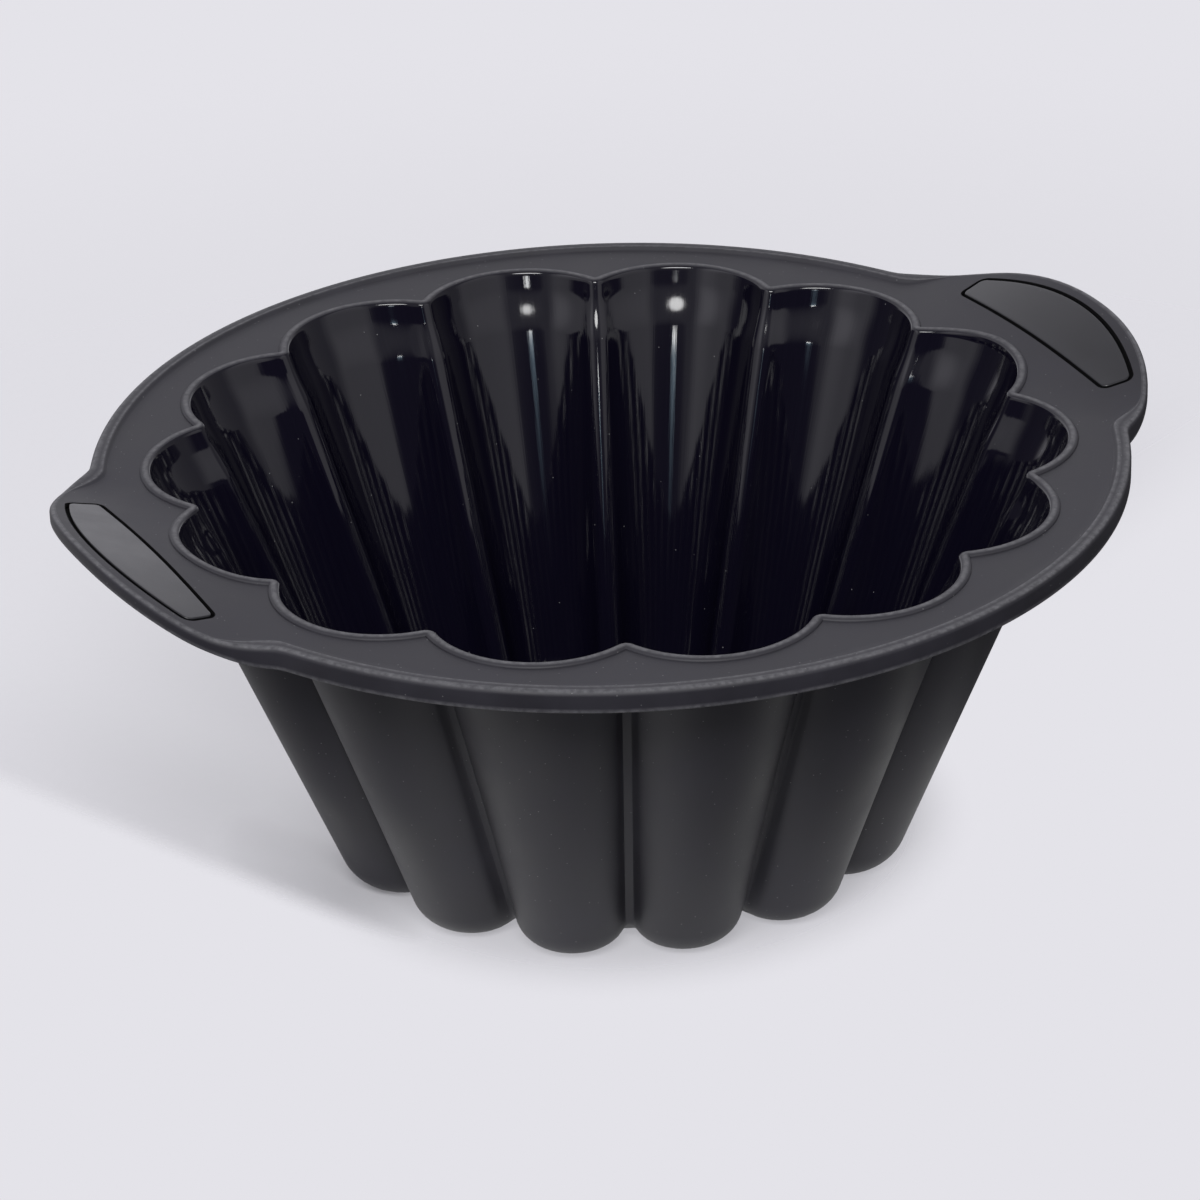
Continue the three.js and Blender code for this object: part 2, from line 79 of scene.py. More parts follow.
LOBE_COUNT = 14
FLANGE_HEIGHT = 93.0
LOBE_TOP_RADIUS = 102.6
LOBE_FOOT_RADIUS = 65.5
GROOVE_TOP_DEPTH = 9.0
GROOVE_FOOT_DEPTH = 10.1
GROOVE_ROUNDING = 1.1
GROOVE_FLOOR = 1.7
GROOVE_SIDE = 1.4
WALL = 1.4
BASE_THICKNESS = 2.2
LOBE_END_ROUNDING = 11.9
CORE_SETBACK = 0.9
CORE_ROUNDING = 12.4
CORE_BLEND = 1.0

FLARE = 0.8
FLARE_FOOT = 80.6
FLARE_TOP = 89.8
MOUTH_BEAD_WIDTH = 2.5
MOUTH_BEAD_RISE = 0.7
FLANGE_THICKNESS = 2.2

RIM_RADIUS = cad_high.y / MM
RIM_BEAD_TOP = 2.8
RIM_BEAD_SLOPE = 1.2
RIM_BEAD_SLOPE_SHARE = 0.6
RIM_BEAD_DISH = 0.12
RIM_BEAD_RISE = 0.9
RIM_ROUNDING = 1.2
RIM_LIP_DEPTH = 4.1
RIM_LIP_WIDTH = 4.4
RIM_EDGE_ROUNDING = 0.5
# Height of the pale band on the lip's lower edge, partly wear and partly a painted highlight
RIM_EDGE_PALE_BAND = 1.2

PLATE_WIDTH = 12.9
PLATE_BOW = 6.7
PLATE_END_SLANT = 1.4
PLATE_ROUNDING = 1.6
PLATE_PROUD = 0.12
PLATE_DEPTH = 1.8
PLATE_EDGE_ROUNDING = 0.3
PLATE_FLANGE_REACH = 1.4
PLATE_FLANGE_THICKNESS = 0.5
PLATE_LENGTH = 63.6
SLIT = 0.8
SLIT_SOFTENING = 0.15
CLEARANCE = 0.3

LUG_REACH = 11.6
LUG_SHOULDER = 19.3
LUG_FULLNESS = 3.0
LUG_FOLD_SOFTNESS = 1.0
LUG_ROOT = 2.6
LUG_EDGE_TOP = 0.5
LUG_EDGE_DEPTH = 3.4
LUG_UNDERSIDE_SLOPE = 0.4
BEAD_RUN_OUT = 13.0
LIFT_INSET = 26.7
LIFT_RUN = 24.0
LIFT_SLOPE = 0.32
LIFT_SPREAD = 0.0067

WIRE_DIAMETER = 1.4
WIRE_COVER = 0.5
PIN_HOLE_DIAMETER = 1.2
PIN_HOLE_SPACING = math.radians(40)
PIN_HOLES_PER_SIDE = 3

# %% Sizes that follow from them
HALF_LOBE = math.pi / LOBE_COUNT
GROOVE_TOP_RADIUS = LOBE_TOP_RADIUS - GROOVE_TOP_DEPTH
GROOVE_FOOT_RADIUS = LOBE_FOOT_RADIUS - GROOVE_FOOT_DEPTH
CORE_FOOT_RADIUS = GROOVE_FOOT_RADIUS - CORE_SETBACK
LOBE_SLOPE = (LOBE_TOP_RADIUS - LOBE_FOOT_RADIUS) / FLANGE_HEIGHT
GROOVE_SLOPE = (GROOVE_TOP_RADIUS - GROOVE_FOOT_RADIUS) / FLANGE_HEIGHT
FOOT_SWEEP = math.pi / 2 - math.atan(LOBE_SLOPE)

plate_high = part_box("handle_plate_right")[1]
PLATE_OUTER = plate_high.x / MM - PLATE_FLANGE_REACH
PLATE_INNER = PLATE_OUTER - PLATE_WIDTH
PLATE_CORNER = PLATE_OUTER - PLATE_BOW
PLATE_CORNER_HALF = PLATE_LENGTH / 2
PLATE_INNER_HALF = PLATE_CORNER_HALF - PLATE_END_SLANT
LUG_HALF_ANGLE = (PLATE_CORNER_HALF + LUG_SHOULDER) / RIM_RADIUS
LUG_FULL_ANGLE = LUG_HALF_ANGLE - BEAD_RUN_OUT / RIM_RADIUS
LUG_ROOT_RADIUS = PLATE_INNER - PLATE_FLANGE_REACH - CLEARANCE - LUG_ROOT
LIFT_START = RIM_RADIUS - LIFT_INSET

WIRE_RING_RADIUS = RIM_RADIUS - RIM_LIP_WIDTH / 2
WIRE_DEPTH = (RIM_LIP_DEPTH - RIM_BEAD_RISE) / 2
CHANNEL_RADIUS = WIRE_DIAMETER / 2 + CLEARANCE
WIRE_LUG_DEPTH = PLATE_DEPTH + CLEARANCE + WIRE_COVER + CHANNEL_RADIUS
LUG_DEPTH = WIRE_LUG_DEPTH + CHANNEL_RADIUS + WIRE_COVER
print(f"rim radius {RIM_RADIUS:.1f}, plates from {PLATE_INNER:.1f} to {PLATE_OUTER:.1f}")

# %% [markdown]
# ## The shape of the cup
#
# Cut level anywhere, the cup is a ring of round fingers with a small rounding in each groove. It could be
# lofted between an outline drawn at the foot and one at the flange. But both the crest of a lobe and the
# bottom of a groove are straight lines from foot to flange, so one formula gives the wall at every height.
# At the foot each finger closes to a round end, and a plain core fills what lies between them. A soft
# maximum of the two joins them without a crease. Only on the outside, each groove also gets a narrow flat
# floor with steep sides, which shows as a pale strip between two dark lines.


# %% Formulas for the cup
def smooth_step(low, high, value):
    """0 at the first edge, 1 at the second, with no corner at either."""
    share = np.clip((value - low) / (high - low), 0, 1)
    return share * share * (3 - 2 * share)


def soft_maximum(first, second, softness):
    return 0.5 * (first + second + np.hypot(first - second, softness))


def foot_inset(height, rounding):
    """How far the rounding between the leaning wall and the base draws in at a height above the base."""
    if height >= rounding * (1 - math.cos(FOOT_SWEEP)):
        return 0.0
    wall_line = rounding * math.tan(FOOT_SWEEP / 2) + LOBE_SLOPE * height
    return wall_line - math.sqrt(rounding**2 - (rounding - height) ** 2)


def lobe_turn(angle):
    """How far an angle lies from the crest of its lobe."""
    return np.abs((angle + HALF_LOBE) % (2 * HALF_LOBE) - HALF_LOBE)


def cup_radius(angle, height, depth, base_plane):
    """Radius of the cup at angles and a height, at a depth inside the outer skin."""
    lobe = LOBE_FOOT_RADIUS + LOBE_SLOPE * height
    groove = GROOVE_FOOT_RADIUS + GROOVE_SLOPE * height
    outer_reach = lobe + GROOVE_ROUNDING
    groove_point = groove + GROOVE_ROUNDING
    spread = 2 * (outer_reach - groove_point * math.cos(HALF_LOBE))
    centre = (outer_reach**2 - groove_point**2) / spread
    above = max(height - base_plane, 0)
    finger = lobe - centre - depth - foot_inset(above, LOBE_END_ROUNDING - depth)
    rounding = max(GROOVE_ROUNDING + depth, 0)

    turn = lobe_turn(angle)
    beside = centre * np.sin(turn)
    reach = np.sqrt(np.maximum(finger**2 - beside**2, 0))
    skin = np.where(finger > beside, centre * np.cos(turn) + reach, 0)

    bridge = (finger + rounding) ** 2 - (centre * math.sin(HALF_LOBE)) ** 2
    if bridge > 0:
        point = centre * math.cos(HALF_LOBE) + math.sqrt(bridge)
        share = finger / (finger + rounding)
        tangent_x = centre + share * (point * math.cos(HALF_LOBE) - centre)
        tangent_y = share * point * math.sin(HALF_LOBE)
        across = point * np.sin(HALF_LOBE - turn)
        in_groove = (turn > math.atan2(tangent_y, tangent_x)) & (rounding > np.abs(across))
        hollow = np.sqrt(np.maximum(rounding**2 - across**2, 0))
        skin = np.where(in_groove, point * np.cos(HALF_LOBE - turn) - hollow, skin)

    core = CORE_FOOT_RADIUS + LOBE_SLOPE * height - depth - foot_inset(above, CORE_ROUNDING - depth)
    return soft_maximum(skin, core, CORE_BLEND)


def outside_radius(angle, height):
    """Radius of the outer skin, where each groove has a narrow flat floor between steep sides."""
    skin = cup_radius(angle, height, 0, 0)
    floor = GROOVE_FOOT_RADIUS + GROOVE_SLOPE * height
    beside = skin * np.sin(HALF_LOBE - lobe_turn(angle))
    share = smooth_step(GROOVE_FLOOR / 2 + GROOVE_SIDE, GROOVE_FLOOR / 2, beside)
    return skin - share * np.maximum(skin - floor, 0)


crest_and_groove = outside_radius(np.array([0, HALF_LOBE]), FLANGE_HEIGHT)
print("outside radius of a lobe and a groove at the flange:", crest_and_groove.round(1))


# %% [markdown]
# ## The shape of the rim
#
# The rim is a circle with a lug at each end of X. The lugs are bent up: the bend starts on the flange and
# runs into a straight slope, and it starts later towards the lug's ends, which gives the lugs their crown.
# A lattice could bend a flat rim afterwards. A formula for the lift is chosen instead, because everything
# that sits on the rim, plates and pockets too, can go through it before it is made, so it all fits.


# %% Formulas for the rim
def angle_from_handle(angle):
    return np.arcsin(np.abs(np.sin(angle)))


def lug_share(angle):
    """1 on a lug, 0 on the round part of the rim."""
    return smooth_step(LUG_HALF_ANGLE, LUG_FULL_ANGLE, angle_from_handle(angle))


def on_rim_or_lug(angle, on_rim, on_lug):
    share = lug_share(angle)
    return on_rim * (1 - share) + on_lug * share


def rim_radius(angle):
    share = angle_from_handle(angle) / LUG_HALF_ANGLE
    return RIM_RADIUS + soft_maximum(LUG_REACH * (1 - share**LUG_FULLNESS), 0, LUG_FOLD_SOFTNESS)


def lift(x, y):
    """How far the rim is bent up at a point on it."""
    along = np.maximum(np.abs(x) - LIFT_SPREAD * y * y - LIFT_START, 0)
    bend = LIFT_SLOPE * np.minimum(along, LIFT_RUN) ** 2 / (2 * LIFT_RUN)
    return bend + LIFT_SLOPE * np.maximum(along - LIFT_RUN, 0)


def rim_ring(radius, angle, above):
    """Points of the rim from radius, angle and height above the top of the flange before it is bent up."""
    x = radius * np.cos(angle)
    y = radius * np.sin(angle)
    return np.column_stack([x, y, FLANGE_HEIGHT + above + lift(x, y)])


def level_ring(radius, angle, height):
    return np.column_stack([radius * np.cos(angle), radius * np.sin(angle), np.full_like(angle, height)])


def cup_ring(angle, height, depth, base_plane):
    return level_ring(cup_radius(angle, height, depth, base_plane), angle, height)


print("a lug reaches", round(rim_radius(0.0), 1), "and is lifted by", round(lift(rim_radius(0.0), 0.0), 1))


# %% [markdown]
# ## The silicone moulding
#
# The skin is a stack of rings with the same number of points, so each ring joins the next with plain
# quads. It could be joined from fourteen cones with a modifier, but a polished wall shows every uneven
# face in its reflections, and rings stay even. The skin runs up the polished inside, over the bead of the
# mouth, across the flange, round the rim, and down the outside to the base. The steps are close where a
# surface turns and wide where it is straight. Just under the mouth the inside flares by less than a
# millimetre. That is hard to see as a shape, but it bends the reflections, so the large soft lamp shows
# there as a white patch above the small lamp's streak. Each ring also carries a number for how pale it is:
# partly wear, because the edges that are touched most have gone pale, and partly a painted highlight on
# the crests and edges that catch the light.

# %% Rings of the moulding's skin
POINTS_PER_HALF_LOBE = 24
GROOVE_CROWDING = 1.5
FOOT_STEPS = 12
WALL_STEPS = 10
FLARE_STEPS = 26
BEAD_STEPS = 14
FLANGE_STEPS = 6
ROUNDING_STEPS = 8
LIP_STEPS = 5
BASE_SHARES = (0.35, 0.7)


def ring_angles():
    """Angles round a ring, closest together at the grooves."""
    shares = 1 - (1 - np.arange(1, POINTS_PER_HALF_LOBE + 1) / POINTS_PER_HALF_LOBE) ** GROOVE_CROWDING
    half = np.concatenate([-shares[-2::-1], [0], shares]) * HALF_LOBE
    return np.concatenate([2 * HALF_LOBE * lobe + half for lobe in range(LOBE_COUNT)])


def wall_heights(base_plane, rounding, top):
    """Heights that follow the rounding of a foot evenly and then the straight wall."""
    turns = FOOT_SWEEP * np.arange(FOOT_STEPS + 1) / FOOT_STEPS
    foot = base_plane + rounding * (1 - np.cos(turns))
    straight = np.linspace(foot[-1], top, WALL_STEPS + 1)[1:]
    return np.concatenate([foot, straight])


def inside_rings(angle):
    wall = WALL + FLARE
    heights = wall_heights(BASE_THICKNESS, LOBE_END_ROUNDING - wall, FLARE_FOOT)
    floor = cup_ring(angle, BASE_THICKNESS, wall, BASE_THICKNESS)
    level = np.array([0, 0, BASE_THICKNESS])
    rings = [level + share * (floor - level) for share in BASE_SHARES]
    rings += [cup_ring(angle, height, wall, BASE_THICKNESS) for height in heights]
    for height in np.linspace(FLARE_FOOT, FLANGE_HEIGHT, FLARE_STEPS + 1)[1:]:
        flare = FLARE * smooth_step(FLARE_FOOT, FLARE_TOP, height)
        rings.append(cup_ring(angle, height, wall - flare, BASE_THICKNESS))
    return rings


def bead_section():
    """The mouth's bead as steps outwards and upwards: it leaves the wall along its lean and ends steeply."""
    shares = np.arange(1, BEAD_STEPS // 2 + 1) / (BEAD_STEPS // 2)
    inner_out = 2 * shares * (1 - shares) * LOBE_SLOPE * MOUTH_BEAD_RISE + shares**2 * MOUTH_BEAD_WIDTH / 2
    inner_rise = MOUTH_BEAD_RISE * shares * (2 - shares)
    turns = shares * math.pi / 2
    outer_out = MOUTH_BEAD_WIDTH / 2 * (1 + np.sin(turns))
    outer_rise = MOUTH_BEAD_RISE * np.cos(turns)
    return zip(np.append(inner_out, outer_out), np.append(inner_rise, outer_rise))


def top_rings(angle):
    rings = []
    for out, rise in bead_section():
        rings.append(rim_ring(cup_radius(angle, FLANGE_HEIGHT, WALL - out, BASE_THICKNESS), angle, rise))

    bead_top = on_rim_or_lug(angle, RIM_RADIUS - RIM_BEAD_TOP, rim_radius(angle) - LUG_EDGE_TOP)
    bead_foot = bead_top - RIM_ROUNDING
    bead_rise = on_rim_or_lug(angle, RIM_BEAD_RISE, 0)
    mouth = cup_radius(angle, FLANGE_HEIGHT, WALL - MOUTH_BEAD_WIDTH, BASE_THICKNESS)
    for share in np.arange(1, FLANGE_STEPS + 1) / FLANGE_STEPS:
        rings.append(rim_ring(mouth + share * (bead_foot - mouth), angle, 0))

    outer = rim_radius(angle) - RIM_ROUNDING
    crest = bead_foot + np.minimum(RIM_BEAD_SLOPE, RIM_BEAD_SLOPE_SHARE * (outer - bead_foot))
    for share in np.arange(1, ROUNDING_STEPS + 1) / ROUNDING_STEPS:
        rise = bead_rise * smooth_step(0, 1, share)
        rings.append(rim_ring(bead_foot + share * (crest - bead_foot), angle, rise))
    rings.append(rim_ring((crest + outer) / 2, angle, bead_rise - on_rim_or_lug(angle, RIM_BEAD_DISH, 0)))
    for turn in np.linspace(0, math.pi / 2, ROUNDING_STEPS + 1):
        inset = RIM_ROUNDING * (1 - math.sin(turn))
        drop = RIM_ROUNDING * (1 - math.cos(turn))
        rings.append(rim_ring(rim_radius(angle) - inset, angle, bead_rise - drop))
    return rings


def lip_rings(angle):
    rings = []
    edge_bottom = -on_rim_or_lug(angle, RIM_LIP_DEPTH, LUG_EDGE_DEPTH)
    lip_bottom = -on_rim_or_lug(angle, RIM_LIP_DEPTH, LUG_DEPTH)
    lip_inner = on_rim_or_lug(angle, RIM_RADIUS - RIM_LIP_WIDTH, LUG_ROOT_RADIUS)
    rings.append(rim_ring(rim_radius(angle), angle, edge_bottom + RIM_EDGE_PALE_BAND))
    for turn in np.linspace(0, math.pi / 2, LIP_STEPS + 1):
        inset = RIM_EDGE_ROUNDING * (1 - math.cos(turn))
        rise = RIM_EDGE_ROUNDING * (1 - math.sin(turn))
        rings.append(rim_ring(rim_radius(angle) - inset, angle, edge_bottom + rise))
    outer = rim_radius(angle) - RIM_EDGE_ROUNDING
    for share in np.arange(1, LIP_STEPS + 1) / LIP_STEPS:
        depth = edge_bottom + (lip_bottom - edge_bottom) * smooth_step(0, LUG_UNDERSIDE_SLOPE, share)
        rings.append(rim_ring(outer + share * (lip_inner - outer), angle, depth))
    outside = outside_radius(angle, FLANGE_HEIGHT - FLANGE_THICKNESS)
    for share in np.arange(0, LIP_STEPS) / LIP_STEPS:
        rings.append(rim_ring(lip_inner + share * (outside - lip_inner), angle, -FLANGE_THICKNESS))
    return rings


def beside_grooves(angle, height):
    """Angles moved so that the points near a groove keep their distance from its middle at every height."""
    crest = 2 * HALF_LOBE * np.round(angle / (2 * HALF_LOBE))
    share = 1 - np.abs(angle - crest) / HALF_LOBE
    widening = GROOVE_TOP_RADIUS / (GROOVE_FOOT_RADIUS + GROOVE_SLOPE * height) - 1
    moved = share * (1 + widening * (1 - share) ** 2)
    return crest + np.sign(angle - crest) * HALF_LOBE * (1 - moved)


def outside_rings(angle):
    rings = []
    for height in wall_heights(0, LOBE_END_ROUNDING, FLANGE_HEIGHT - FLANGE_THICKNESS)[::-1]:
        turned = beside_grooves(angle, height)
        rings.append(level_ring(outside_radius(turned, height), turned, height))
    rings += [share * rings[-1] for share in BASE_SHARES[::-1]]
    return rings


print("points in a ring:", len(ring_angles()))


# %% [markdown]
# ## From points to meshes
#
# Blender takes a mesh as a list of points and a list of faces. A band of quads joins two loops of points.
# A Boolean modifier takes one closed shape out of another. Its solver for closed meshes is chosen, because
# it is quick and keeps the materials and the pale rings of wear and painted highlight of what it cuts.

# %% Mesh tools
def mesh_object(name, points, faces):
    """A smooth-shaded object from points in millimetres."""
    mesh = bpy.data.meshes.new(name)
    mesh.from_pydata((np.asarray(points) * MM).tolist(), [], faces)
    mesh.validate()
    mesh.shade_smooth()
    made = bpy.data.objects.new(name, mesh)
    bpy.context.scene.collection.objects.link(made)
    return made


def band(first, second, count):
    """Quads between two loops of points, given by their first indices."""
    steps = [(i, (i + 1) % count) for i in range(count)]
    return [(first + i, first + j, second + j, second + i) for i, j in steps]


def cut(target, cutter):
    """Takes one closed shape out of another, and the cutter away."""
    modifier = target.modifiers.new(cutter.name, "BOOLEAN")
    modifier.operation = "DIFFERENCE"
    modifier.solver = "MANIFOLD"
    modifier.material_mode = "TRANSFER"
    modifier.object = cutter
    bpy.context.view_layer.objects.active = target
    bpy.ops.object.modifier_apply(modifier=modifier.name)
    bpy.data.objects.remove(cutter)


# %% Build the moulding before its pockets are cut
# How pale the rings are: partly wear, partly a painted highlight on the crests and edges that catch the light
BEAD_WEAR_AND_HIGHLIGHT = (0.5, 0.9, 1.0, 0.9, 0.5)
RIM_WEAR_AND_HIGHLIGHT = (0.2, 0.6, 1.0, 0.1, 0.7, 1.0, 1.0, 1.0, 0.5)
LIP_EDGE_WEAR_AND_HIGHLIGHT = 1.0


def pale_around(wear_and_highlight, middle, values):
    """Gives values to the rings on both sides of a middle one."""
    first = middle - len(values) // 2
    wear_and_highlight[first:first + len(values)] = values


def worn_and_highlit_rings(inside, top, lip, outside):
    """Paleness of each ring, wear and painted highlight: most on the mouth bead's crest and the rim's rounded
    edges.
    """
    wear_and_highlight = np.zeros(inside + top + lip + outside)
    pale_around(wear_and_highlight, inside + BEAD_STEPS // 2 - 1, BEAD_WEAR_AND_HIGHLIGHT)
    pale_around(wear_and_highlight, inside + top - ROUNDING_STEPS - 1, RIM_WEAR_AND_HIGHLIGHT)
    lip_edge = inside + top + 1
    wear_and_highlight[lip_edge:lip_edge + LIP_STEPS + 1] = LIP_EDGE_WEAR_AND_HIGHLIGHT
    return wear_and_highlight


def mould_skin():
    angle = ring_angles()
    count = len(angle)
    inside = inside_rings(angle)
    top = top_rings(angle)
    lip = lip_rings(angle)
    outside = outside_rings(angle)
    rings = inside + top + lip + outside
    points = np.concatenate(rings + [[[0, 0, BASE_THICKNESS], [0, 0, 0]]])
    faces = []
    for ring in range(len(rings) - 1):
        faces += band((ring + 1) * count, ring * count, count)
    inside_centre = len(rings) * count
    last = (len(rings) - 1) * count
    for i in range(count):
        j = (i + 1) % count
        faces.append((inside_centre, i, j))
        faces.append((inside_centre + 1, last + j, last + i))
    made = mesh_object("silicone_body", points, faces)
    wear_and_highlight = np.repeat(worn_and_highlit_rings(len(inside), len(top), len(lip), len(outside)), count)
    made.data.attributes.new("wear_and_highlight", "FLOAT", "POINT").data.foreach_set("value", np.append(wear_and_highlight, [0, 0]))
    # The polish ends half way up the inner side of the mouth's bead
    polished = (len(inside) - 1 + BEAD_STEPS // 4) * count
    return made, polished, count


body, polished_faces, ring_count = mould_skin()
print(f"moulding: {len(body.data.vertices)} points in rings of {ring_count}")

# %% [markdown]
# ## The handle plates
#
# Seen from above, a plate has a straight inner edge, slanted ends and a bowed outer edge with small round
# corners. An extruded curve with a bevel would look much the same, but the pocket needs the same outline a
# little larger. So the outline is a frame moved outwards by one distance, and outlines of different growth
# lie evenly inside one another. Stacked as layers they make the plate, and a little larger they make its
# pocket: the dark slit round the plate is the difference between the two.

# %% Outline of a plate
PLATE_LENGTH_STEPS = 64
PLATE_WIDTH_STEPS = 12
CORNER_STEPS = 4


def way(turn):
    return np.array([math.cos(turn), math.sin(turn)])


def corner_turns(first, last):
    return np.linspace(first, last, CORNER_STEPS + 1)


def plate_frame():
    """Four sides of the plate as points of a frame inside it, each with the turn it moves outwards in."""
    arc_radius = (PLATE_CORNER_HALF**2 + PLATE_BOW**2) / (2 * PLATE_BOW)
    arc_centre = np.array([PLATE_OUTER - arc_radius, 0])
    frame_radius = arc_radius - PLATE_ROUNDING

    along = np.array([PLATE_CORNER - PLATE_INNER, PLATE_END_SLANT])
    along = along / np.linalg.norm(along)
    end_turn = math.atan2(along[0], -along[1])
    on_end = np.array([PLATE_INNER, PLATE_INNER_HALF]) - PLATE_ROUNDING * way(end_turn)
    inner = on_end + along * (PLATE_INNER + PLATE_ROUNDING - on_end[0]) / along[0]
    from_centre = on_end - arc_centre
    sideways = from_centre @ way(end_turn)
    outer = on_end + along * (math.sqrt(frame_radius**2 - sideways**2) - from_centre @ along)
    outer_turn = math.atan2(outer[1], outer[0] - arc_centre[0])

    inner_corner = (math.pi + end_turn) / 2
    outer_corner = (end_turn + outer_turn) / 2
    shares = np.linspace(-1, 1, PLATE_LENGTH_STEPS - 2 * CORNER_STEPS + 1)
    inner_side = [(inner * [1, share], math.pi) for share in shares]
    outer_side = [(arc_centre + frame_radius * way(turn), turn) for turn in outer_turn * shares]
    end_shares = np.linspace(0, 1, PLATE_WIDTH_STEPS - 2 * CORNER_STEPS + 1)
    end_side = [(inner + share * (outer - inner), end_turn) for share in end_shares]

    inner_before = [(inner * [1, -1], -turn) for turn in corner_turns(inner_corner, math.pi)[:-1]]
    inner_after = [(inner, turn) for turn in corner_turns(math.pi, inner_corner)[1:]]
    outer_before = [(outer * [1, -1], -turn) for turn in corner_turns(outer_corner, outer_turn)[:-1]]
    outer_after = [(outer, turn) for turn in corner_turns(outer_turn, outer_corner)[1:]]
    end_before = [(inner, turn) for turn in corner_turns(inner_corner, end_turn)[:-1]]
    end_after = [(outer, turn) for turn in corner_turns(end_turn, outer_corner)[1:]]
    end = end_before + end_side + end_after
    start = [(point * [1, -1], -turn) for point, turn in end]
    return inner_before + inner_side + inner_after, outer_before + outer_side + outer_after, start, end


def plate_grid(growth):
    """A patch of points that fills the plate's outline, grown by a distance."""
    def grown(side):
        return np.array([point + (PLATE_ROUNDING + growth) * way(turn) for point, turn in side])

    low, high, start, end = (grown(side) for side in plate_frame())
    along = np.linspace(0, 1, PLATE_LENGTH_STEPS + 1)[:, None, None]
    over = np.linspace(0, 1, PLATE_WIDTH_STEPS + 1)[None, :, None]
    crosswise = low[:, None] * (1 - over) + high[:, None] * over
    lengthwise = start[None] * (1 - along) + end[None] * along
    low_corners = low[0] * (1 - along) + low[-1] * along
    high_corners = high[0] * (1 - along) + high[-1] * along
    return crosswise + lengthwise - (low_corners * (1 - over) + high_corners * over)


def plate_loop():
    """Grid places of the plate's edge, in order round it."""
    length = PLATE_LENGTH_STEPS
    width = PLATE_WIDTH_STEPS
    loop = [(i, 0) for i in range(length)]
    loop += [(length, j) for j in range(width)]
    loop += [(length - i, width) for i in range(length)]
    loop += [(0, width - j) for j in range(width)]
    return loop


def plate_body(name, layers, turn):
    """A plate-shaped body from layers of growth and height above the lug's top, listed from below."""
    loop = plate_loop()
    count = len(loop)
    edge_place = {place: i for i, place in enumerate(loop)}
    points = []
    faces = []
    grids = [(plate_grid(growth), height) for growth, height in layers]
    for layer, (grid, height) in enumerate(grids):
        points += [(*grid[place], height) for place in loop]
        if layer > 0:
            faces += band(layer * count, (layer - 1) * count, count)
    for layer in (0, len(layers) - 1):
        grid, height = grids[layer]
        index = np.zeros(grid.shape[:2], int)
        for place in np.ndindex(index.shape):
            if place in edge_place:
                index[place] = layer * count + edge_place[place]
            else:
                index[place] = len(points)
                points.append((*grid[place], height))
        corners = zip(index[:-1, :-1].flat, index[:-1, 1:].flat, index[1:, 1:].flat, index[1:, :-1].flat)
        for quad in corners:
            faces.append(tuple(map(int, quad if layer > 0 else quad[::-1])))
    flat = np.array(points)
    raised = flat[:, 2] + FLANGE_HEIGHT + lift(flat[:, 0], flat[:, 1])
    x_way = way(turn)
    y_way = np.array([-x_way[1], x_way[0]])
    level = flat[:, :1] * x_way + flat[:, 1:2] * y_way
    return mesh_object(name, np.column_stack([level, raised]), faces)


print("points round a plate's edge:", len(plate_loop()))


# %% Plates and their pockets
SHARP_ANGLE = math.radians(32)
PLATE_FLANK_LAYERS = 3


def plate_layers():
    flange_top = PLATE_FLANGE_THICKNESS - PLATE_DEPTH
    layers = [(PLATE_FLANGE_REACH, -PLATE_DEPTH), (PLATE_FLANGE_REACH, flange_top), (0, flange_top)]
    for turn in np.linspace(0, math.pi / 2, ROUNDING_STEPS + 1):
        inset = PLATE_EDGE_ROUNDING * (1 - math.cos(turn))
        drop = PLATE_EDGE_ROUNDING * (1 - math.sin(turn))
        layers.append((-inset, PLATE_PROUD - drop))
    return layers


def pocket_layers():
    undercut = PLATE_FLANGE_REACH + CLEARANCE
    undercut_top = PLATE_FLANGE_THICKNESS - PLATE_DEPTH + CLEARANCE
    layers = [(undercut, -PLATE_DEPTH - CLEARANCE), (undercut, undercut_top), (SLIT, undercut_top)]
    for turn in np.linspace(0, math.pi / 2, CORNER_STEPS + 1):
        flare = SLIT_SOFTENING * (1 - math.cos(turn))
        layers.append((SLIT + flare, SLIT_SOFTENING * (math.sin(turn) - 1)))
    layers.append((SLIT + SLIT_SOFTENING, PLATE_PROUD + RIM_BEAD_RISE))
    return layers


plates = []
for name, node, turn in (
    ("plate_right", "handle_plate_right", 0.0),
    ("plate_left", "handle_plate_left", math.pi),
):
    plate = plate_body(name, plate_layers(), turn)
    plate.data.set_sharp_from_angle(angle=SHARP_ANGLE)
    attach(plate, "root")
    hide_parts(node)
    plates.append(plate)
    print(name, "top at", round(max(v.co.z for v in plate.data.vertices) / MM, 2), "mm")

# %% [markdown]
# ## Cutting the moulding
#
# The pockets, the channel for the rim wire and the holes that carried the wire while the silicone was
# moulded are all taken out of the skin. Cutting after the surface is made keeps both simple. The faces of
# the inside get their own material first, because the cut would lose count of them. The walls of a pocket
# take the near-black material of the shape that cut it, a painted shade, so the slit round the plate
# stays dark.

# %% Channel and pin holes
CHANNEL_STEPS = 168
CHANNEL_SIDES = 10


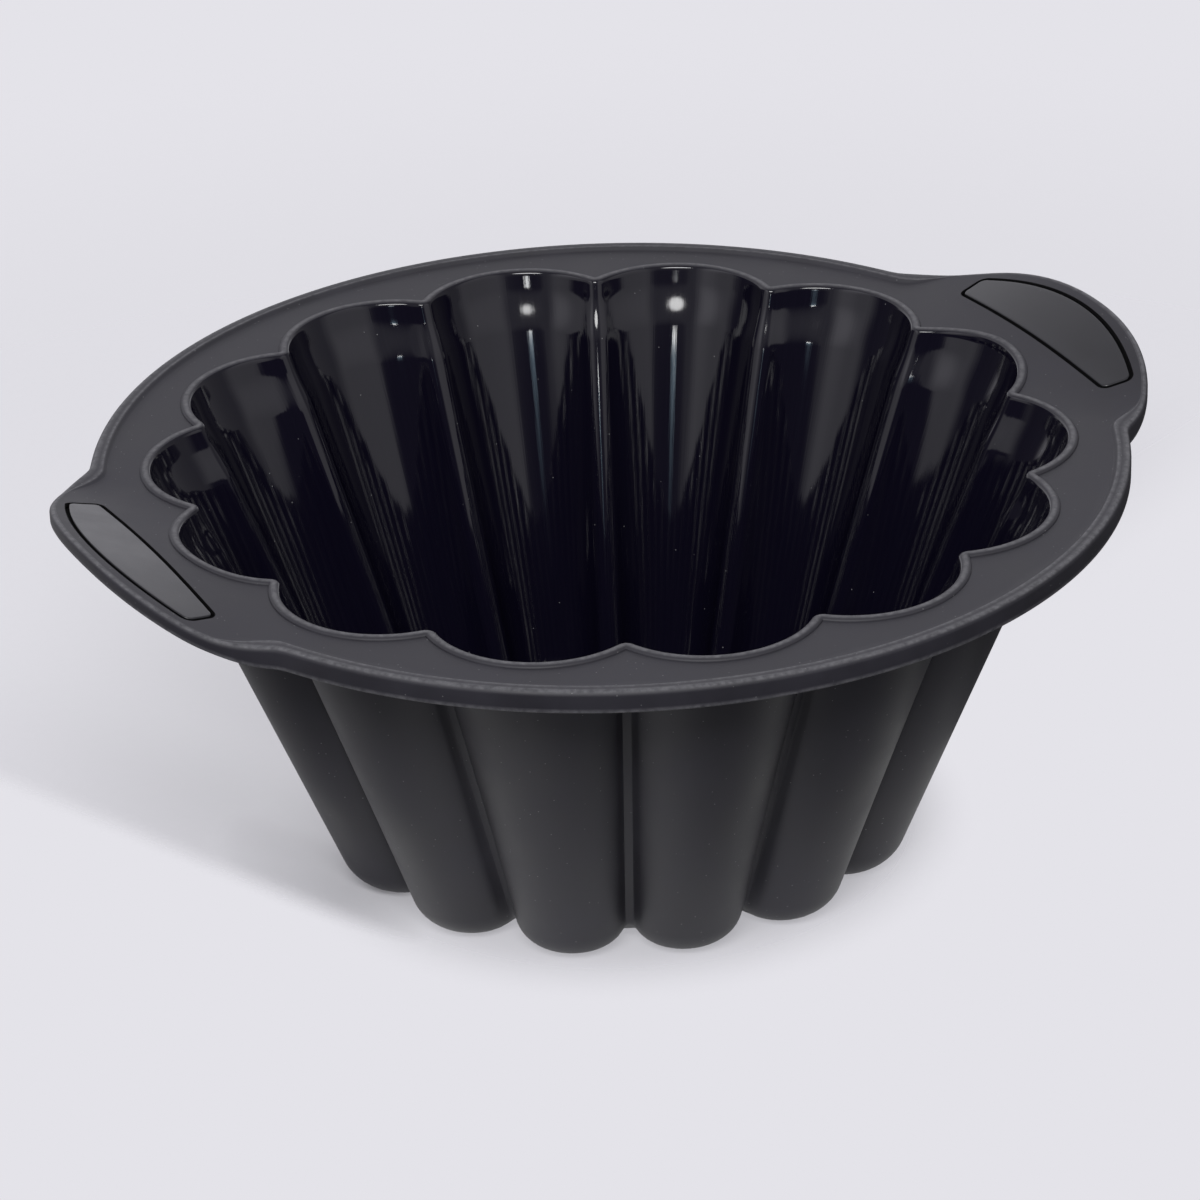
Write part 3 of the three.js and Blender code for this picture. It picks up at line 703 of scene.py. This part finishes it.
def wire_channel():
    angle = 2 * math.pi * np.arange(CHANNEL_STEPS) / CHANNEL_STEPS
    depth = on_rim_or_lug(angle, WIRE_DEPTH, WIRE_LUG_DEPTH)
    middle = rim_ring(np.full_like(angle, WIRE_RING_RADIUS), angle, -depth)
    outwards = np.column_stack([np.cos(angle), np.sin(angle), np.zeros_like(angle)])
    turns = 2 * math.pi * np.arange(CHANNEL_SIDES) / CHANNEL_SIDES
    section = np.column_stack([np.cos(turns), np.sin(turns)]) * CHANNEL_RADIUS
    up = np.array([0, 0, 1])
    points = middle[:, None] + section[None, :, :1] * outwards[:, None] + section[None, :, 1:] * up
    faces = []
    for step in range(CHANNEL_STEPS):
        following = (step + 1) % CHANNEL_STEPS
        faces += band(following * CHANNEL_SIDES, step * CHANNEL_SIDES, CHANNEL_SIDES)
    return mesh_object("wire_channel", points.reshape(-1, 3), faces)


def pin_hole(angle):
    turns = 2 * math.pi * np.arange(CHANNEL_SIDES) / CHANNEL_SIDES
    x, y, z = rim_ring(np.array([WIRE_RING_RADIUS]), np.array([angle]), -WIRE_DEPTH)[0]
    across = np.column_stack([np.cos(turns), np.sin(turns)]) * PIN_HOLE_DIAMETER / 2
    bottom = z - RIM_LIP_DEPTH - RIM_EDGE_ROUNDING + WIRE_DEPTH
    ends = []
    for height in (bottom, z):
        ends.append(np.column_stack([across + (x, y), np.full(CHANNEL_SIDES, height)]))
    faces = band(0, CHANNEL_SIDES, CHANNEL_SIDES)
    faces.append(tuple(range(CHANNEL_SIDES))[::-1])
    faces.append(tuple(range(CHANNEL_SIDES, 2 * CHANNEL_SIDES)))
    return mesh_object("pin_hole", np.concatenate(ends), faces)


# %% [markdown]
# ## Shared surface effects
#
# Silicone shows three things at close range: a cloudy tone, dust that clings to it, and fine draw marks
# where the polished core slid out of the moulding. Each is a small node group that gives a mask or a
# height, so a material can use it at its own scale.


# %% Node helpers and the shared groups
SPECK_CORE = 0.5


def add_node(tree, kind, inputs=None, **settings):
    node = tree.nodes.new(kind)
    for name, value in settings.items():
        setattr(node, name, value)
    for socket, value in (inputs or {}).items():
        if isinstance(value, bpy.types.NodeSocket):
            tree.links.new(value, node.inputs[socket])
        else:
            node.inputs[socket].default_value = value
    return node


def new_group(name, inputs, output):
    """A node group with number inputs and one number output; gives the tree and its two end nodes."""
    tree = bpy.data.node_groups.new(name, "ShaderNodeTree")
    for label, value in inputs.items():
        socket = tree.interface.new_socket(label, in_out="INPUT", socket_type="NodeSocketFloat")
        socket.default_value = value
    tree.interface.new_socket(output, in_out="OUTPUT", socket_type="NodeSocketFloat")
    return tree, tree.nodes.new("NodeGroupInput"), tree.nodes.new("NodeGroupOutput")


def cloud_group():
    """A soft cloudy tone, 0 to 1, from coarse noise with finer noise in it."""
    tree, start, end = new_group("cloudy_tone", {"Scale": 60.0}, "Tone")
    place = add_node(tree, "ShaderNodeTexCoord")
    noise = add_node(
        tree,
        "ShaderNodeTexNoise",
        {"Vector": place.outputs["Object"], "Scale": start.outputs["Scale"], "Detail": 5.0, "Roughness": 0.6},
    )
    spread = add_node(
        tree,
        "ShaderNodeMapRange",
        {"Value": noise.outputs["Fac"], "From Min": 0.32, "From Max": 0.68},
    )
    tree.links.new(spread.outputs["Result"], end.inputs["Tone"])
    return tree


def dust_group():
    """Scattered specks: a small round mark in a few of many cells."""
    tree, start, end = new_group("dust_specks", {"Scale": 500.0, "Share": 0.05, "Size": 0.25}, "Mask")
    place = add_node(tree, "ShaderNodeTexCoord")
    cells = add_node(
        tree,
        "ShaderNodeTexVoronoi",
        {"Vector": place.outputs["Object"], "Scale": start.outputs["Scale"]},
    )
    inner = add_node(tree, "ShaderNodeMath", {0: start.outputs["Size"], 1: SPECK_CORE}, operation="MULTIPLY")
    speck = add_node(
        tree,
        "ShaderNodeMapRange",
        {
            "Value": cells.outputs["Distance"],
            "From Min": start.outputs["Size"],
            "From Max": inner.outputs[0],
        },
    )
    tint = add_node(tree, "ShaderNodeSeparateColor", {"Color": cells.outputs["Color"]})
    chosen = add_node(
        tree, "ShaderNodeMath", {0: tint.outputs["Red"], 1: start.outputs["Share"]}, operation="LESS_THAN"
    )
    mask = add_node(
        tree, "ShaderNodeMath", {0: speck.outputs["Result"], 1: chosen.outputs[0]}, operation="MULTIPLY"
    )
    tree.links.new(mask.outputs[0], end.inputs["Mask"])
    return tree


def draw_mark_group():
    """Fine upright marks: noise that changes quickly round the cup and slowly along its height."""
    tree, start, end = new_group("draw_marks", {"Around": 260.0, "Upwards": 60.0}, "Height")
    place = add_node(tree, "ShaderNodeTexCoord")
    parts = add_node(tree, "ShaderNodeSeparateXYZ", {"Vector": place.outputs["Object"]})
    turn = add_node(
        tree, "ShaderNodeMath", {0: parts.outputs["Y"], 1: parts.outputs["X"]}, operation="ARCTAN2"
    )
    around = add_node(
        tree, "ShaderNodeMath", {0: turn.outputs[0], 1: start.outputs["Around"]}, operation="MULTIPLY"
    )
    upwards = add_node(
        tree, "ShaderNodeMath", {0: parts.outputs["Z"], 1: start.outputs["Upwards"]}, operation="MULTIPLY"
    )
    where = add_node(tree, "ShaderNodeCombineXYZ", {"X": around.outputs[0], "Y": upwards.outputs[0]})
    noise = add_node(
        tree,
        "ShaderNodeTexNoise",
        {"Vector": where.outputs["Vector"], "Scale": 1.0, "Detail": 3.0},
        noise_dimensions="2D",
    )
    tree.links.new(noise.outputs["Fac"], end.inputs["Height"])
    return tree


def use_group(tree, group, **inputs):
    node = tree.nodes.new("ShaderNodeGroup")
    node.node_tree = group
    for label, value in inputs.items():
        node.inputs[label].default_value = value
    return node.outputs[0]


cloudy_tone = cloud_group()
dust_specks = dust_group()
draw_marks = draw_mark_group()
print("shared groups:", [group.name for group in (cloudy_tone, dust_specks, draw_marks)])


# %% [markdown]
# ## Materials
#
# Outside, the silicone is satin: dark, a little blue, cloudy, with pale dust, scuffed edges that also carry a
# painted highlight, and a fine grain. Inside it is polished, so its own colour almost vanishes and what is
# seen are reflections. The plates are a harder and smoother plastic, the slits round them are painted near
# black as shade, and the hidden wire is drawn steel.


# %% Material helpers
def new_material(name):
    material = bpy.data.materials.new(name)
    material.use_nodes = True
    tree = material.node_tree
    shader = tree.nodes["Principled BSDF"]
    return material, tree, shader


def mixed(tree, factor, first, second):
    """A colour between two, by a mask or tone."""
    node = add_node(tree, "ShaderNodeMix", data_type="RGBA")
    tree.links.new(factor, node.inputs["Factor"])
    for socket, value in ((node.inputs["A"], first), (node.inputs["B"], second)):
        if isinstance(value, bpy.types.NodeSocket):
            tree.links.new(value, socket)
        else:
            socket.default_value = (*value, 1)
    return node.outputs["Result"]


def ranged(tree, value, low, high):
    """A value from 0 to 1 spread between two limits."""
    node = add_node(tree, "ShaderNodeMapRange", {"Value": value, "To Min": low, "To Max": high})
    return node.outputs["Result"]


def eased(tree, value, low, high):
    """0 below one limit, 1 above the other, smooth between them."""
    node = add_node(
        tree,
        "ShaderNodeMapRange",
        {"Value": value, "From Min": low, "From Max": high},
        interpolation_type="SMOOTHSTEP",
    )
    return node.outputs["Result"]


def combined(tree, operation, first, second):
    return add_node(tree, "ShaderNodeMath", {0: first, 1: second}, operation=operation).outputs[0]


def product(tree, *values):
    """Several masks or values multiplied together."""
    result = values[0]
    for value in values[1:]:
        result = combined(tree, "MULTIPLY", result, value)
    return result


def bumped(tree, shader, height, strength, distance):
    node = add_node(tree, "ShaderNodeBump", {"Height": height, "Strength": strength, "Distance": distance})
    tree.links.new(node.outputs["Normal"], shader.inputs["Normal"])


# %% Silicone, plates and wire
SILICONE_IOR = 1.41
OUTSIDE_DARK = (0.0142, 0.0136, 0.0178)
OUTSIDE_LIGHT = (0.0226, 0.0218, 0.0284)
# Pale colour of worn edges, which also serves as a painted highlight on crests and edges
EDGE_WEAR_AND_HIGHLIGHT = (0.108, 0.107, 0.116)
DUST = (0.16, 0.16, 0.165)
INSIDE_DARK = (0.0020, 0.0015, 0.0058)
INSIDE_LIGHT = (0.0034, 0.0028, 0.0082)
PLATE_DARK = (0.0046, 0.0046, 0.0066)
PLATE_LIGHT = (0.0078, 0.0078, 0.0108)
# Near-black colours of the slit's flanks: painted shade
GAP_SHADE_DARK = (0.0016, 0.0015, 0.0018)
GAP_SHADE_LIGHT = (0.0030, 0.0029, 0.0034)
WIRE_DARK = (0.33, 0.33, 0.34)
WIRE_LIGHT = (0.45, 0.45, 0.46)
OUTSIDE_ROUGHNESS = (0.50, 0.60)
INSIDE_ROUGHNESS = (0.04, 0.08)
PLATE_ROUGHNESS = (0.28, 0.36)
GAP_ROUGHNESS = (0.85, 1.0)
WIRE_ROUGHNESS = (0.25, 0.4)
SCUFF_STRENGTH = (0.25, 1.0)
GAP_GLOSS = 0.1


def outside_silicone():
    material, tree, shader = new_material("silicone_outside")
    tone = use_group(tree, cloudy_tone, Scale=55.0)
    specks = use_group(tree, dust_specks, Scale=900.0, Share=0.11, Size=0.14)
    colour = mixed(tree, tone, OUTSIDE_DARK, OUTSIDE_LIGHT)
    # Pale rims and bead: partly wear, partly a painted highlight on the crests and edges that catch the light
    wear_and_highlight = add_node(tree, "ShaderNodeAttribute", attribute_name="wear_and_highlight").outputs["Fac"]
    scuffs = ranged(tree, use_group(tree, cloudy_tone, Scale=650.0), *SCUFF_STRENGTH)
    colour = mixed(tree, product(tree, wear_and_highlight, scuffs), colour, EDGE_WEAR_AND_HIGHLIGHT)
    tree.links.new(mixed(tree, specks, colour, DUST), shader.inputs["Base Color"])
    tree.links.new(ranged(tree, tone, *OUTSIDE_ROUGHNESS), shader.inputs["Roughness"])
    grain = use_group(tree, cloudy_tone, Scale=2600.0)
    bumped(tree, shader, grain, strength=0.12, distance=0.00006)
    shader.inputs["IOR"].default_value = SILICONE_IOR
    return material


def inside_silicone():
    material, tree, shader = new_material("silicone_inside")
    marks = use_group(tree, draw_marks, Around=240.0, Upwards=40.0)
    specks = use_group(tree, dust_specks, Scale=700.0, Share=0.04, Size=0.12)
    colour = mixed(tree, marks, INSIDE_DARK, INSIDE_LIGHT)
    tree.links.new(mixed(tree, specks, colour, DUST), shader.inputs["Base Color"])
    tree.links.new(ranged(tree, marks, *INSIDE_ROUGHNESS), shader.inputs["Roughness"])
    bumped(tree, shader, marks, strength=0.10, distance=0.00008)
    shader.inputs["IOR"].default_value = SILICONE_IOR
    return material


def hard_plastic():
    material, tree, shader = new_material("plate_plastic")
    tone = use_group(tree, cloudy_tone, Scale=90.0)
    specks = use_group(tree, dust_specks, Scale=1000.0, Share=0.04, Size=0.12)
    colour = mixed(tree, tone, PLATE_DARK, PLATE_LIGHT)
    tree.links.new(mixed(tree, specks, colour, DUST), shader.inputs["Base Color"])
    tree.links.new(ranged(tree, tone, *PLATE_ROUGHNESS), shader.inputs["Roughness"])
    grain = use_group(tree, cloudy_tone, Scale=3200.0)
    bumped(tree, shader, grain, strength=0.10, distance=0.00005)
    return material


def shaded_gap():
    """The flanks of the slit round a plate: near black and rough, a painted shade, so hardly any light comes
    back out.
    """
    material, tree, shader = new_material("gap_painted_shade")
    tone = use_group(tree, cloudy_tone, Scale=300.0)
    tree.links.new(mixed(tree, tone, GAP_SHADE_DARK, GAP_SHADE_LIGHT), shader.inputs["Base Color"])
    tree.links.new(ranged(tree, tone, *GAP_ROUGHNESS), shader.inputs["Roughness"])
    shader.inputs["Specular IOR Level"].default_value = GAP_GLOSS
    return material


def drawn_steel():
    material, tree, shader = new_material("wire_steel")
    marks = use_group(tree, draw_marks, Around=30.0, Upwards=900.0)
    tree.links.new(mixed(tree, marks, WIRE_DARK, WIRE_LIGHT), shader.inputs["Base Color"])
    tree.links.new(ranged(tree, marks, *WIRE_ROUGHNESS), shader.inputs["Roughness"])
    shader.inputs["Metallic"].default_value = 1.0
    return material


# %% [markdown]
# ## Dressing the pieces
#
# Now the cuts are made and every piece gets its material. The moulding could be split into an inside and
# an outside object, but it is one thing, so it stays one mesh with a material for each side. The rim wire
# is hidden in its channel, so it stays as it was packed and only gets its finish.

# %% Cut the moulding and dress every piece
def dress(piece, *materials):
    piece.data.materials.clear()
    for material in materials:
        piece.data.materials.append(material)


dress(body, outside_silicone(), inside_silicone())
inside_index = np.zeros(len(body.data.polygons), np.int32)
inside_index[:polished_faces] = 1
# The last faces are the fans of the two floors, one inside and one below in turn
inside_index[-2 * ring_count::2] = 1
body.data.polygons.foreach_set("material_index", inside_index)

# The pockets' walls take a near-black material: painted shade in the slit round each plate
gap_shade = shaded_gap()
for name, turn in (("pocket_right", 0.0), ("pocket_left", math.pi)):
    pocket = plate_body(name, pocket_layers(), turn)
    dress(pocket, gap_shade)
    cut(body, pocket)
cut(body, wire_channel())
for side in (-1, 1):
    for pin in range(PIN_HOLES_PER_SIDE):
        from_middle = (pin - (PIN_HOLES_PER_SIDE - 1) / 2) * PIN_HOLE_SPACING
        cut(body, pin_hole(side * math.pi / 2 + from_middle))
body.data.set_sharp_from_angle(angle=SHARP_ANGLE)
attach(body, "root")
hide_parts("mould_body")

plastic = hard_plastic()
for plate in plates:
    dress(plate, plastic, gap_shade)
    # The plate's flanks take the same painted shade as the slit
    flank_index = [int(face.index < PLATE_FLANK_LAYERS * len(plate_loop())) for face in plate.data.polygons]
    plate.data.polygons.foreach_set("material_index", flank_index)
dress(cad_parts["rim_wire"], drawn_steel())
print("moulding after the cuts:", len(body.data.polygons), "faces")

# %% [markdown]
# ## Camera
#
# The camera was found from the photograph: the points between the lobes lie on one circle, and so does the
# outer edge of the rim, which fixes the direction, the distance and the long lens. It is placed from the
# centre of the mouth, backwards along its own axis and a little to the side.

# %% Camera
VIEW_AZIMUTH = math.radians(-26.87)
VIEW_ELEVATION = math.radians(27.10)
VIEW_ROLL = math.radians(-1.77)
VIEW_DISTANCE = 1187.0
VIEW_RIGHT = -2.1
VIEW_UP = -33.5
MOUTH_HEIGHT = 93.7
LENS = 161.3
SENSOR = 36.0
VIEW_REACH = 20


def view_axes():
    """The camera's right, up and backward directions."""
    level = math.cos(VIEW_ELEVATION)
    back = Vector(
        (math.sin(VIEW_AZIMUTH) * level, -math.cos(VIEW_AZIMUTH) * level, math.sin(VIEW_ELEVATION))
    )
    right = Vector((math.cos(VIEW_AZIMUTH), math.sin(VIEW_AZIMUTH), 0))
    up = back.cross(right)
    turned_right = math.cos(VIEW_ROLL) * right + math.sin(VIEW_ROLL) * up
    turned_up = math.cos(VIEW_ROLL) * up - math.sin(VIEW_ROLL) * right
    return turned_right, turned_up, back


def photo_camera():
    right, up, back = view_axes()
    data = bpy.data.cameras.new("photo_camera")
    data.lens = LENS
    data.sensor_width = SENSOR
    data.clip_end = VIEW_REACH
    camera = bpy.data.objects.new("photo_camera", data)
    mouth = Vector((0, 0, MOUTH_HEIGHT))
    place = (mouth + VIEW_RIGHT * right + VIEW_UP * up + VIEW_DISTANCE * back) * MM
    camera.matrix_world = Matrix.Translation(place) @ Matrix((right, up, back)).transposed().to_4x4()
    bpy.context.scene.collection.objects.link(camera)
    bpy.context.scene.camera = camera
    return camera


camera = photo_camera()
print("camera at", [round(value, 3) for value in camera.matrix_world.translation])

# %% [markdown]
# ## The room
#
# The studio is a pale room, bright overhead, behind and at the sides, and dark low down on the camera's
# side. It could be built from panels, but a world that answers by direction is quicker to render and
# leaves nothing in the way. What the camera sees past the mould is the plain backdrop, and the soft light
# and the reflections see the room itself. The polished flutes show its dark edge as the lower end of their
# pale patches.

# %% The room as seen in each direction
BACKDROP = (0.776, 0.768, 0.815)
ROOM_TOP = (0.78, 0.775, 0.79)
ROOM_SIDE = (0.15, 0.147, 0.156)
ROOM_BACK = (1.02, 1.01, 1.08)
ROOM_BACK_HIGH = (0.72, 0.71, 0.76)
ROOM_BACK_RIGHT = (0.40, 0.395, 0.415)
ROOM_BACK_LEFT = (1.20, 1.18, 1.26)
ROOM_BACK_END = (0.12, 0.115, 0.14)
ROOM_FRONT = (0.52, 0.515, 0.55)
ROOM_LEFT = (1.95, 1.92, 2.04)
ROOM_LEFT_END = (1.10, 1.08, 1.15)
ROOM_RIGHT = (1.25, 1.23, 1.29)
ROOM_LOW = (0.92, 0.91, 0.95)
ROOM_BELOW = (0.085, 0.084, 0.088)
ROOM_BELOW_LEFT = (0.50, 0.495, 0.51)
ROOM_DARK = (0.09, 0.085, 0.11)
DARK_EDGE = math.sin(math.radians(16.4))
DARK_EDGE_SOFTNESS = 0.03
DARK_EDGE_MIDDLE_SOFTNESS = 0.20
DARK_EDGE_MIDDLE = (0.25, 0.45)
DARK_EDGE_FALL = 0.13
DARK_EDGE_DROP = 0.030
DARK_EDGE_DROP_SIDES = (0.50, 0.75)
CLUTTER = 0.01
CLUTTER_SCALE = 24.0
FRONT_START = (0.0, 0.3)
TABLE_START = (0.0, -0.1)
TABLE_LEFT = (0.1, -0.5)
BACK_RISE = (0.30, 0.70)
BACK_RIGHT = (0.35, 0.80)
BACK_LEFT = (-0.40, -0.80)
SOFT_RISE = (0.1, 0.8)
SIDE_WALL_RISE = (0.15, 0.50)
LEFT_WALL = (-0.42, -0.66)
LEFT_WALL_END = (-0.72, -0.90)
BACK_END = (-0.82, -0.91)
RIGHT_WALL = (0.28, 0.50)


def along_view(right, front):
    """A level direction as seen by the camera: to its right and towards it."""
    across = Vector((math.cos(VIEW_AZIMUTH), math.sin(VIEW_AZIMUTH), 0))
    towards = Vector((math.sin(VIEW_AZIMUTH), -math.cos(VIEW_AZIMUTH), 0))
    return across * right + towards * front


def distance_along(tree, vector, direction):
    node = add_node(tree, "ShaderNodeVectorMath", {0: vector, 1: direction}, operation="DOT_PRODUCT")
    return node.outputs["Value"]


def studio_world():
    world = bpy.data.worlds.new("studio")
    bpy.context.scene.world = world
    world.use_nodes = True
    tree = world.node_tree
    rays = add_node(tree, "ShaderNodeLightPath")
    direction = add_node(tree, "ShaderNodeTexCoord").outputs["Generated"]
    height = add_node(tree, "ShaderNodeSeparateXYZ", {"Vector": direction}).outputs["Z"]
    towards = distance_along(tree, direction, along_view(0, 1))
    side = distance_along(tree, direction, along_view(1, 0))
    front = eased(tree, towards, *FRONT_START)
    below = eased(tree, height, *TABLE_START)
    table = mixed(tree, eased(tree, side, *TABLE_LEFT), ROOM_BELOW, ROOM_BELOW_LEFT)

    # The dark things on the camera's side stand highest and softest in the middle and lower to the sides
    aside = combined(tree, "MAXIMUM", side, product(tree, side, -1.0))
    drop = product(tree, eased(tree, aside, *DARK_EDGE_DROP_SIDES), DARK_EDGE_DROP)
    fall = combined(tree, "ADD", product(tree, aside, DARK_EDGE_FALL), drop)
    clutter = add_node(
        tree, "ShaderNodeTexNoise", {"Vector": direction, "Scale": CLUTTER_SCALE, "Detail": 3.0}
    )
    clutter = ranged(tree, clutter.outputs["Fac"], -CLUTTER, CLUTTER)
    level = combined(tree, "ADD", combined(tree, "ADD", height, fall), clutter)
    off_middle = eased(tree, aside, *DARK_EDGE_MIDDLE)
    softness = ranged(tree, off_middle, DARK_EDGE_MIDDLE_SOFTNESS, DARK_EDGE_SOFTNESS)
    dark = eased(tree, level, combined(tree, "ADD", softness, DARK_EDGE), DARK_EDGE)
    dark = product(tree, front, dark)

    upwards = eased(tree, height, *SIDE_WALL_RISE)
    left_wall = mixed(tree, eased(tree, side, *LEFT_WALL_END), ROOM_LEFT, ROOM_LEFT_END)
    left_wall = mixed(tree, upwards, ROOM_LOW, left_wall)
    right_wall = mixed(tree, upwards, ROOM_LOW, ROOM_RIGHT)
    wall = mixed(tree, eased(tree, side, *LEFT_WALL), ROOM_FRONT, left_wall)
    wall = mixed(tree, eased(tree, side, *RIGHT_WALL), wall, right_wall)
    back = mixed(tree, eased(tree, height, *BACK_RISE), ROOM_BACK, ROOM_BACK_HIGH)
    back = mixed(tree, eased(tree, side, *BACK_RIGHT), back, ROOM_BACK_RIGHT)
    back = mixed(tree, eased(tree, side, *BACK_LEFT), back, ROOM_BACK_LEFT)
    back = mixed(tree, eased(tree, side, *BACK_END), back, ROOM_BACK_END)
    glossy = mixed(tree, front, back, wall)
    glossy = mixed(tree, below, glossy, table)
    glossy = mixed(tree, dark, glossy, ROOM_DARK)

    soft = mixed(tree, eased(tree, height, *SOFT_RISE), ROOM_SIDE, ROOM_TOP)
    soft = mixed(tree, below, soft, table)
    soft = mixed(tree, dark, soft, ROOM_DARK)

    seen = combined(tree, "MAXIMUM", rays.outputs["Is Camera Ray"], rays.outputs["Is Transmission Ray"])
    colour = mixed(tree, rays.outputs["Is Glossy Ray"], soft, glossy)
    tree.links.new(mixed(tree, seen, colour, BACKDROP), tree.nodes["Background"].inputs["Color"])
    return world


print("room made of", len(studio_world().node_tree.nodes), "nodes")

# %% [markdown]
# ## Floor and lamps
#
# A large soft lamp above the camera lights the mould. A weak one on the right helps the shadow to the
# left. A small one beside the camera, with a bluish tail that fades downwards, makes the sparks and
# streaks inside the cup. A glowing panel under the mould stands for the light that a white table throws
# back up. A floor that goes on for ever would need light of its own to look as pale as the backdrop, so
# the floor is real only where the shadow lies and fades into the backdrop around it.

# %% Floor and lamps
FLOOR_COLOUR = (0.72, 0.715, 0.755)
FLOOR_SIZE = 4.0
FLOOR_GRAIN = 0.99
FOOT_SHADE = 0.8
FOOT_SHADE_INNER = 0.062
FOOT_SHADE_OUTER = 0.085
CONTACT_STRENGTH = 0.5
CONTACT_INNER = 0.058
CONTACT_OUTER = 0.082
SHADOW_WAY = (-0.76, -0.65)
SHADOW_START = (-0.02, 0.03)
SHADOW_EDGE = 0.0665
SHADOW_EDGE_SOFTNESS = 0.0105
SHADOW_MIDDLE = 0.02
SHADOW_MIDDLE_STRENGTH = 0.40
SHADOW_EDGE_STRENGTH = 0.82
SHADOW_BY_FOOT = (0.12, 0.08)
SHADOW_BY_EDGE = (0.02, 0.068)
SHADOW_FADE_START = 0.24
SHADOW_FADE_END = 0.50
LAMP_TOP = 527
LAMP_HEIGHT = 12
LAMP_POWER = 0.15
TAIL_STEPS = 4
TAIL_WIDTH = 120
TAIL_HEIGHT = 24
TAIL_POWER = 0.039
TAIL_FADE = 0.52
TAIL_COLOUR = (0.55, 0.80, 1.0)


def studio_floor():
    half = FLOOR_SIZE / 2 / MM
    corners = [(-half, -half, 0), (half, -half, 0), (half, half, 0), (-half, half, 0)]
    floor = mesh_object("floor", corners, [(0, 1, 2, 3)])
    material, tree, shader = new_material("floor_paper")
    tone = use_group(tree, cloudy_tone, Scale=400.0)
    place = add_node(tree, "ShaderNodeTexCoord").outputs["Object"]
    away = add_node(tree, "ShaderNodeVectorMath", {0: place}, operation="LENGTH").outputs["Value"]
    grain = [FLOOR_GRAIN * value for value in FLOOR_COLOUR]
    painted_foot_shade = [FOOT_SHADE * value for value in FLOOR_COLOUR]
    colour = mixed(tree, tone, grain, FLOOR_COLOUR)
    # Painted shade: the floor's colour is darkened close to the foot
    colour = mixed(tree, eased(tree, away, FOOT_SHADE_OUTER, FOOT_SHADE_INNER), colour, painted_foot_shade)
    tree.links.new(colour, shader.inputs["Base Color"])
    shader.inputs["Roughness"].default_value = 1.0
    shader.inputs["Specular IOR Level"].default_value = 0.0

    right, front = SHADOW_WAY
    behind = distance_along(tree, place, along_view(right, front))
    beside = distance_along(tree, place, along_view(front, -right))
    strength = eased(tree, beside, SHADOW_MIDDLE, SHADOW_EDGE + SHADOW_EDGE_SOFTNESS)
    strength = ranged(tree, strength, SHADOW_MIDDLE_STRENGTH, SHADOW_EDGE_STRENGTH)
    by_foot = product(tree, eased(tree, away, *SHADOW_BY_FOOT), eased(tree, beside, *SHADOW_BY_EDGE))
    fan = product(
        tree,
        eased(tree, beside, SHADOW_EDGE + SHADOW_EDGE_SOFTNESS, SHADOW_EDGE),
        eased(tree, behind, *SHADOW_START),
        eased(tree, away, SHADOW_FADE_END, SHADOW_FADE_START),
        combined(tree, "MAXIMUM", strength, by_foot),
    )
    contact = product(tree, eased(tree, away, CONTACT_OUTER, CONTACT_INNER), CONTACT_STRENGTH)
    from_below = add_node(tree, "ShaderNodeNewGeometry").outputs["Backfacing"]
    cover = combined(tree, "SUBTRACT", combined(tree, "MAXIMUM", fan, contact), from_below)
    tree.links.new(combined(tree, "MAXIMUM", cover, 0.0), shader.inputs["Alpha"])
    dress(floor, material)


def area_light(name, place, target, size, power, shape="RECTANGLE"):
    """A flat light at a place in millimetres, facing a target."""
    data = bpy.data.lights.new(name, "AREA")
    data.shape = shape
    data.size, data.size_y = (side * MM for side in size)
    data.energy = power
    light = bpy.data.objects.new(name, data)
    light.location = Vector(place) * MM
    aim = (Vector(target) - Vector(place)).normalized()
    light.rotation_mode = "QUATERNION"
    light.rotation_quaternion = aim.to_track_quat("-Z", "Y")
    bpy.context.scene.collection.objects.link(light)
    return light


def from_view(right, front, height):
    """A place as seen by the camera: to its right, towards it along the floor, and above the floor."""
    return along_view(right, front) + Vector((0, 0, height))


studio_floor()
area_light(
    "main_softbox",
    place=from_view(right=-130, front=1000, height=927),
    target=(0, 0, 60),
    size=(730, 336),
    power=12.0,
    shape="ELLIPSE",
)
area_light(
    "lamp_by_camera",
    place=from_view(right=-115, front=1160, height=LAMP_TOP - LAMP_HEIGHT / 2),
    target=(0, 0, 80),
    size=(100, LAMP_HEIGHT),
    power=LAMP_POWER,
)
for step in range(TAIL_STEPS):
    tail = area_light(
        "lamp_tail",
        place=from_view(right=-111, front=1160, height=LAMP_TOP - LAMP_HEIGHT - (step + 0.5) * TAIL_HEIGHT),
        target=(0, 0, 60),
        size=(TAIL_WIDTH, TAIL_HEIGHT),
        power=TAIL_POWER * TAIL_FADE**step,
    )
    tail.data.color = TAIL_COLOUR
side_key = area_light(
    "side_key",
    place=from_view(right=1300, front=500, height=800),
    target=(0, 0, 50),
    size=(500, 500),
    power=0.8,
)
side_key.visible_glossy = False
glow = area_light("table_glow", place=(0, 0, -10), target=(0, 0, 0), size=(195, 195), power=0.108)
glow.visible_camera = False
print("lamps:", sorted(light.name for light in bpy.data.lights))

# %% Finish
scene = bpy.context.scene
scene.view_settings.view_transform = "Standard"
